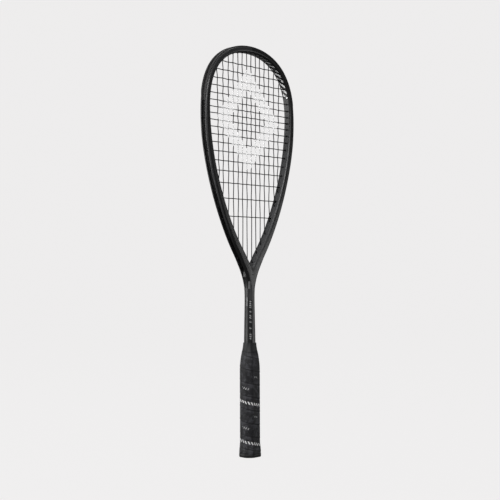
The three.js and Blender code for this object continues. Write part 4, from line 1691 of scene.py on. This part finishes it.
    def cap(self) -> bpy.types.Mesh:
        """The moulded cap: its rounded rim, the flat end with the badge's seat and its skirt.

        Returns:
            The cap's mesh.
        """
        seat = self.octagon(0) * (self.seat_width / self.width)
        floor = ((1.3, 0.0), (1.3, 0.98), (1.25, 1.0), (0.25, 1.0), (0.0, 1.012))
        rings = [self.ring(z, seat * share) for z, share in floor]
        flare = ((0.0, -1.1), (0.12, -0.75), (0.5, -0.3), (1.0, 0.0), (5.2, 0.0), (5.7, -0.3), (5.7, -2.1))
        rings += [self.ring(z, self.octagon(self.flare + grow)) for z, grow in flare]
        rings += [self.ring(z, self.octagon(self.swollen(z) - 2.1)) for z in (11.0, 14.5, 18.0, 21.5, 25.0)]
        rings += [self.ring(z, self.octagon(grow)) for z, grow in ((31, -2.1), (31, -3.4), (3.0, -3.4))]
        rings += [self.ring(3.0, self.octagon(-3.4) * 0.0)]
        return self.solid("cap", rings)

    def badge(self) -> bpy.types.Mesh:
        """The plate in the cap's end, with a raised plain ring round its middle.

        Returns:
            The plate's mesh.
        """
        full = self.octagon(0) * (self.badge_width / self.width)
        around = np.full(self.sides, 1.0)
        profile = [(0.95, full * 0.0), (0.95, full), (0.35, full), (0.2, full - 0.2), (0.2, around * 7.0)]
        profile += [(0.15, around * 6.7), (0.15, around * 5.4), (0.2, around * 5.1), (0.2, around * 0.0)]
        return self.solid("badge", [self.ring(z, radius) for z, radius in profile])

    def build(self, nodes: Mapping[str, bpy.types.Object]) -> None:
        """Makes and dresses the handle.

        Args:
            nodes: The CAD nodes by name, for the hidden ones that stay.
        """
        tape = GripFinish(pitch=self.pitch * MM, phase=self.phase).material()
        add_piece("grip_wrap", self.grip(), tape, ["grip_tape"])
        rubber = MouldedFinish("collar", (0.010, 0.010, 0.0115), 0.52, grain=700.0).material()
        add_piece("grip_collar_rubber", self.collar(), rubber, ["grip_collar"])
        plastic = MouldedFinish("cap", (0.008, 0.008, 0.0085), 0.5).material()
        add_piece("butt_cap_moulded", self.cap(), plastic, ["butt_cap"])
        plate = MouldedFinish("badge", (0.05, 0.05, 0.054), 0.28, coat=0.5, depth=0.00004).material()
        add_piece("butt_cap_plate", self.badge(), plate, ["butt_cap_badge"])
        foam = MouldedFinish("foam", (0.3, 0.27, 0.21), 0.9, grain=500.0, depth=0.0006).material()
        steel = SteelFinish().material()
        kept = {"handle_pallet_front": foam, "handle_pallet_back": foam}
        kept |= {"cap_staple_front": steel, "cap_staple_back": steel}
        for name, material in kept.items():
            nodes[name].data.materials.clear()
            nodes[name].data.materials.append(material)
            LOG.info("%s: dressed", name)


# --- The studio ---


@dataclass(frozen=True)
class Softbox:
    """An area light."""

    name: str
    place: Point
    aim: Point
    size: Pair
    power: float

    def build(self) -> None:
        """Hangs the light."""
        light = bpy.data.lights.new(self.name, "AREA")
        light.shape = "RECTANGLE"
        light.size, light.size_y = self.size
        light.energy = self.power
        holder = bpy.data.objects.new(self.name, light)
        holder.location = self.place
        holder.rotation_euler = (Vector(self.aim) - Vector(self.place)).to_track_quat("-Z", "Y").to_euler()
        bpy.context.scene.collection.objects.link(holder)


@dataclass
class Studio:
    """The camera, the pale floor and the lights."""

    distance: float = 1.6648
    bearing: float = math.radians(45)
    height: float = 0.3026
    roll: float = math.radians(-0.2)
    lens: float = 71.5
    shift: Pair = (0.001, 0.0514)
    pale: Point = (0.847, 0.838, 0.838)
    glow: float = 1.035
    shadow_share: float = 0.03
    ambient: float = 0.12
    lights: tuple[Softbox, ...] = (
        Softbox("left_bank", (-1.3, 1.5, 0.45), (0.0, 0.0, 0.35), (0.7, 1.2), 14.0),
        Softbox("right_bank", (1.6, -1.4, 0.1), (0.0, 0.0, 0.3), (0.6, 0.9), 7.0),
        Softbox("key", (-1.8, -0.6, 1.6), (0.0, 0.0, 0.4), (0.9, 0.9), 32.0),
        Softbox("fill", (-1.5, -1.9, 1.2), (0.0, 0.0, 0.35), (1.6, 1.6), 14.0),
        Softbox("top", (0.3, 0.6, 2.4), (0.0, 0.0, 0.5), (1.2, 1.2), 10.0),
    )

    def camera(self) -> None:
        """Sets the camera, level and at the left front."""
        data = bpy.data.cameras.new("camera")
        data.lens, data.sensor_width = self.lens, 36.0
        data.shift_x, data.shift_y = self.shift
        data.clip_start, data.clip_end = 0.05, 40.0
        holder = bpy.data.objects.new("camera", data)
        back = Vector((-math.sin(self.bearing), -math.cos(self.bearing), 0.0))
        holder.location = back * self.distance + Vector((0.0, 0.0, self.height))
        level = (-back).to_track_quat("-Z", "Y")
        holder.rotation_euler = (level @ Quaternion((0.0, 0.0, 1.0), self.roll)).to_euler()
        bpy.context.scene.collection.objects.link(holder)
        bpy.context.scene.camera = holder

    def floor(self) -> None:
        """Lays a round pale floor that rises into a wall far from the racket."""
        profile = [(0.001, 0.0)] + [(r, 0.0) for r in (0.5, 1.5, 3.0, 5.0)]
        bend = np.linspace(0.15, math.pi / 2, 12)
        profile += [(5.0 + 2.5 * math.sin(a), 2.5 - 2.5 * math.cos(a)) for a in bend]
        profile += [(7.5, 9.0)]
        size = 96
        angles = np.linspace(0, 2 * math.pi, size, endpoint=False)
        points = [(r * math.cos(a), r * math.sin(a), z) for r, z in profile for a in angles]
        mesh = make_mesh("floor", np.array(points) / MM, grid_faces(len(profile), size))
        for polygon in mesh.polygons:
            polygon.use_smooth = True
        mesh.materials.append(self.floor_material())
        floor = bpy.data.objects.new("floor", mesh)
        floor.visible_diffuse = floor.visible_glossy = False
        bpy.context.scene.collection.objects.link(floor)

    def floor_material(self) -> bpy.types.Material:
        """A pale surface that is evenly bright and takes only a faint shadow.

        Returns:
            The material.
        """
        material = bpy.data.materials.new("floor")
        material.use_nodes = True
        graph = Graph(material.node_tree)
        glow = graph.node("ShaderNodeEmission", None, {"Color": (*self.pale, 1.0), "Strength": self.glow})
        plain = graph.node("ShaderNodeBsdfDiffuse", None, {"Color": (0.8, 0.8, 0.8, 1.0)})
        both = graph.node("ShaderNodeMixShader", None, {0: self.shadow_share, 1: glow, 2: plain})
        graph.node("ShaderNodeOutputMaterial", None, {"Surface": both})
        return material

    def build(self) -> None:
        """Sets up the whole studio."""
        scene = bpy.context.scene
        scene.view_settings.view_transform = "Standard"
        world = bpy.data.worlds.new("world")
        world.use_nodes = True
        world.node_tree.nodes["Background"].inputs[0].default_value = (0.8, 0.8, 0.8, 1.0)
        world.node_tree.nodes["Background"].inputs[1].default_value = self.ambient
        scene.world = world
        self.camera()
        self.floor()
        for light in self.lights:
            light.build()


def main() -> None:
    """Builds the studio and the racket."""
    logging.basicConfig(level=logging.INFO, format="%(name)s: %(message)s")
    Studio().build()
    line = LegLine()
    plan = StringPlan(line)
    MouldedFrame(line).build()
    Grommets(plan).build()
    StringBed(plan).build()
    Handle(line).build(frame["nodes"])


if __name__ == "__main__":
    main()
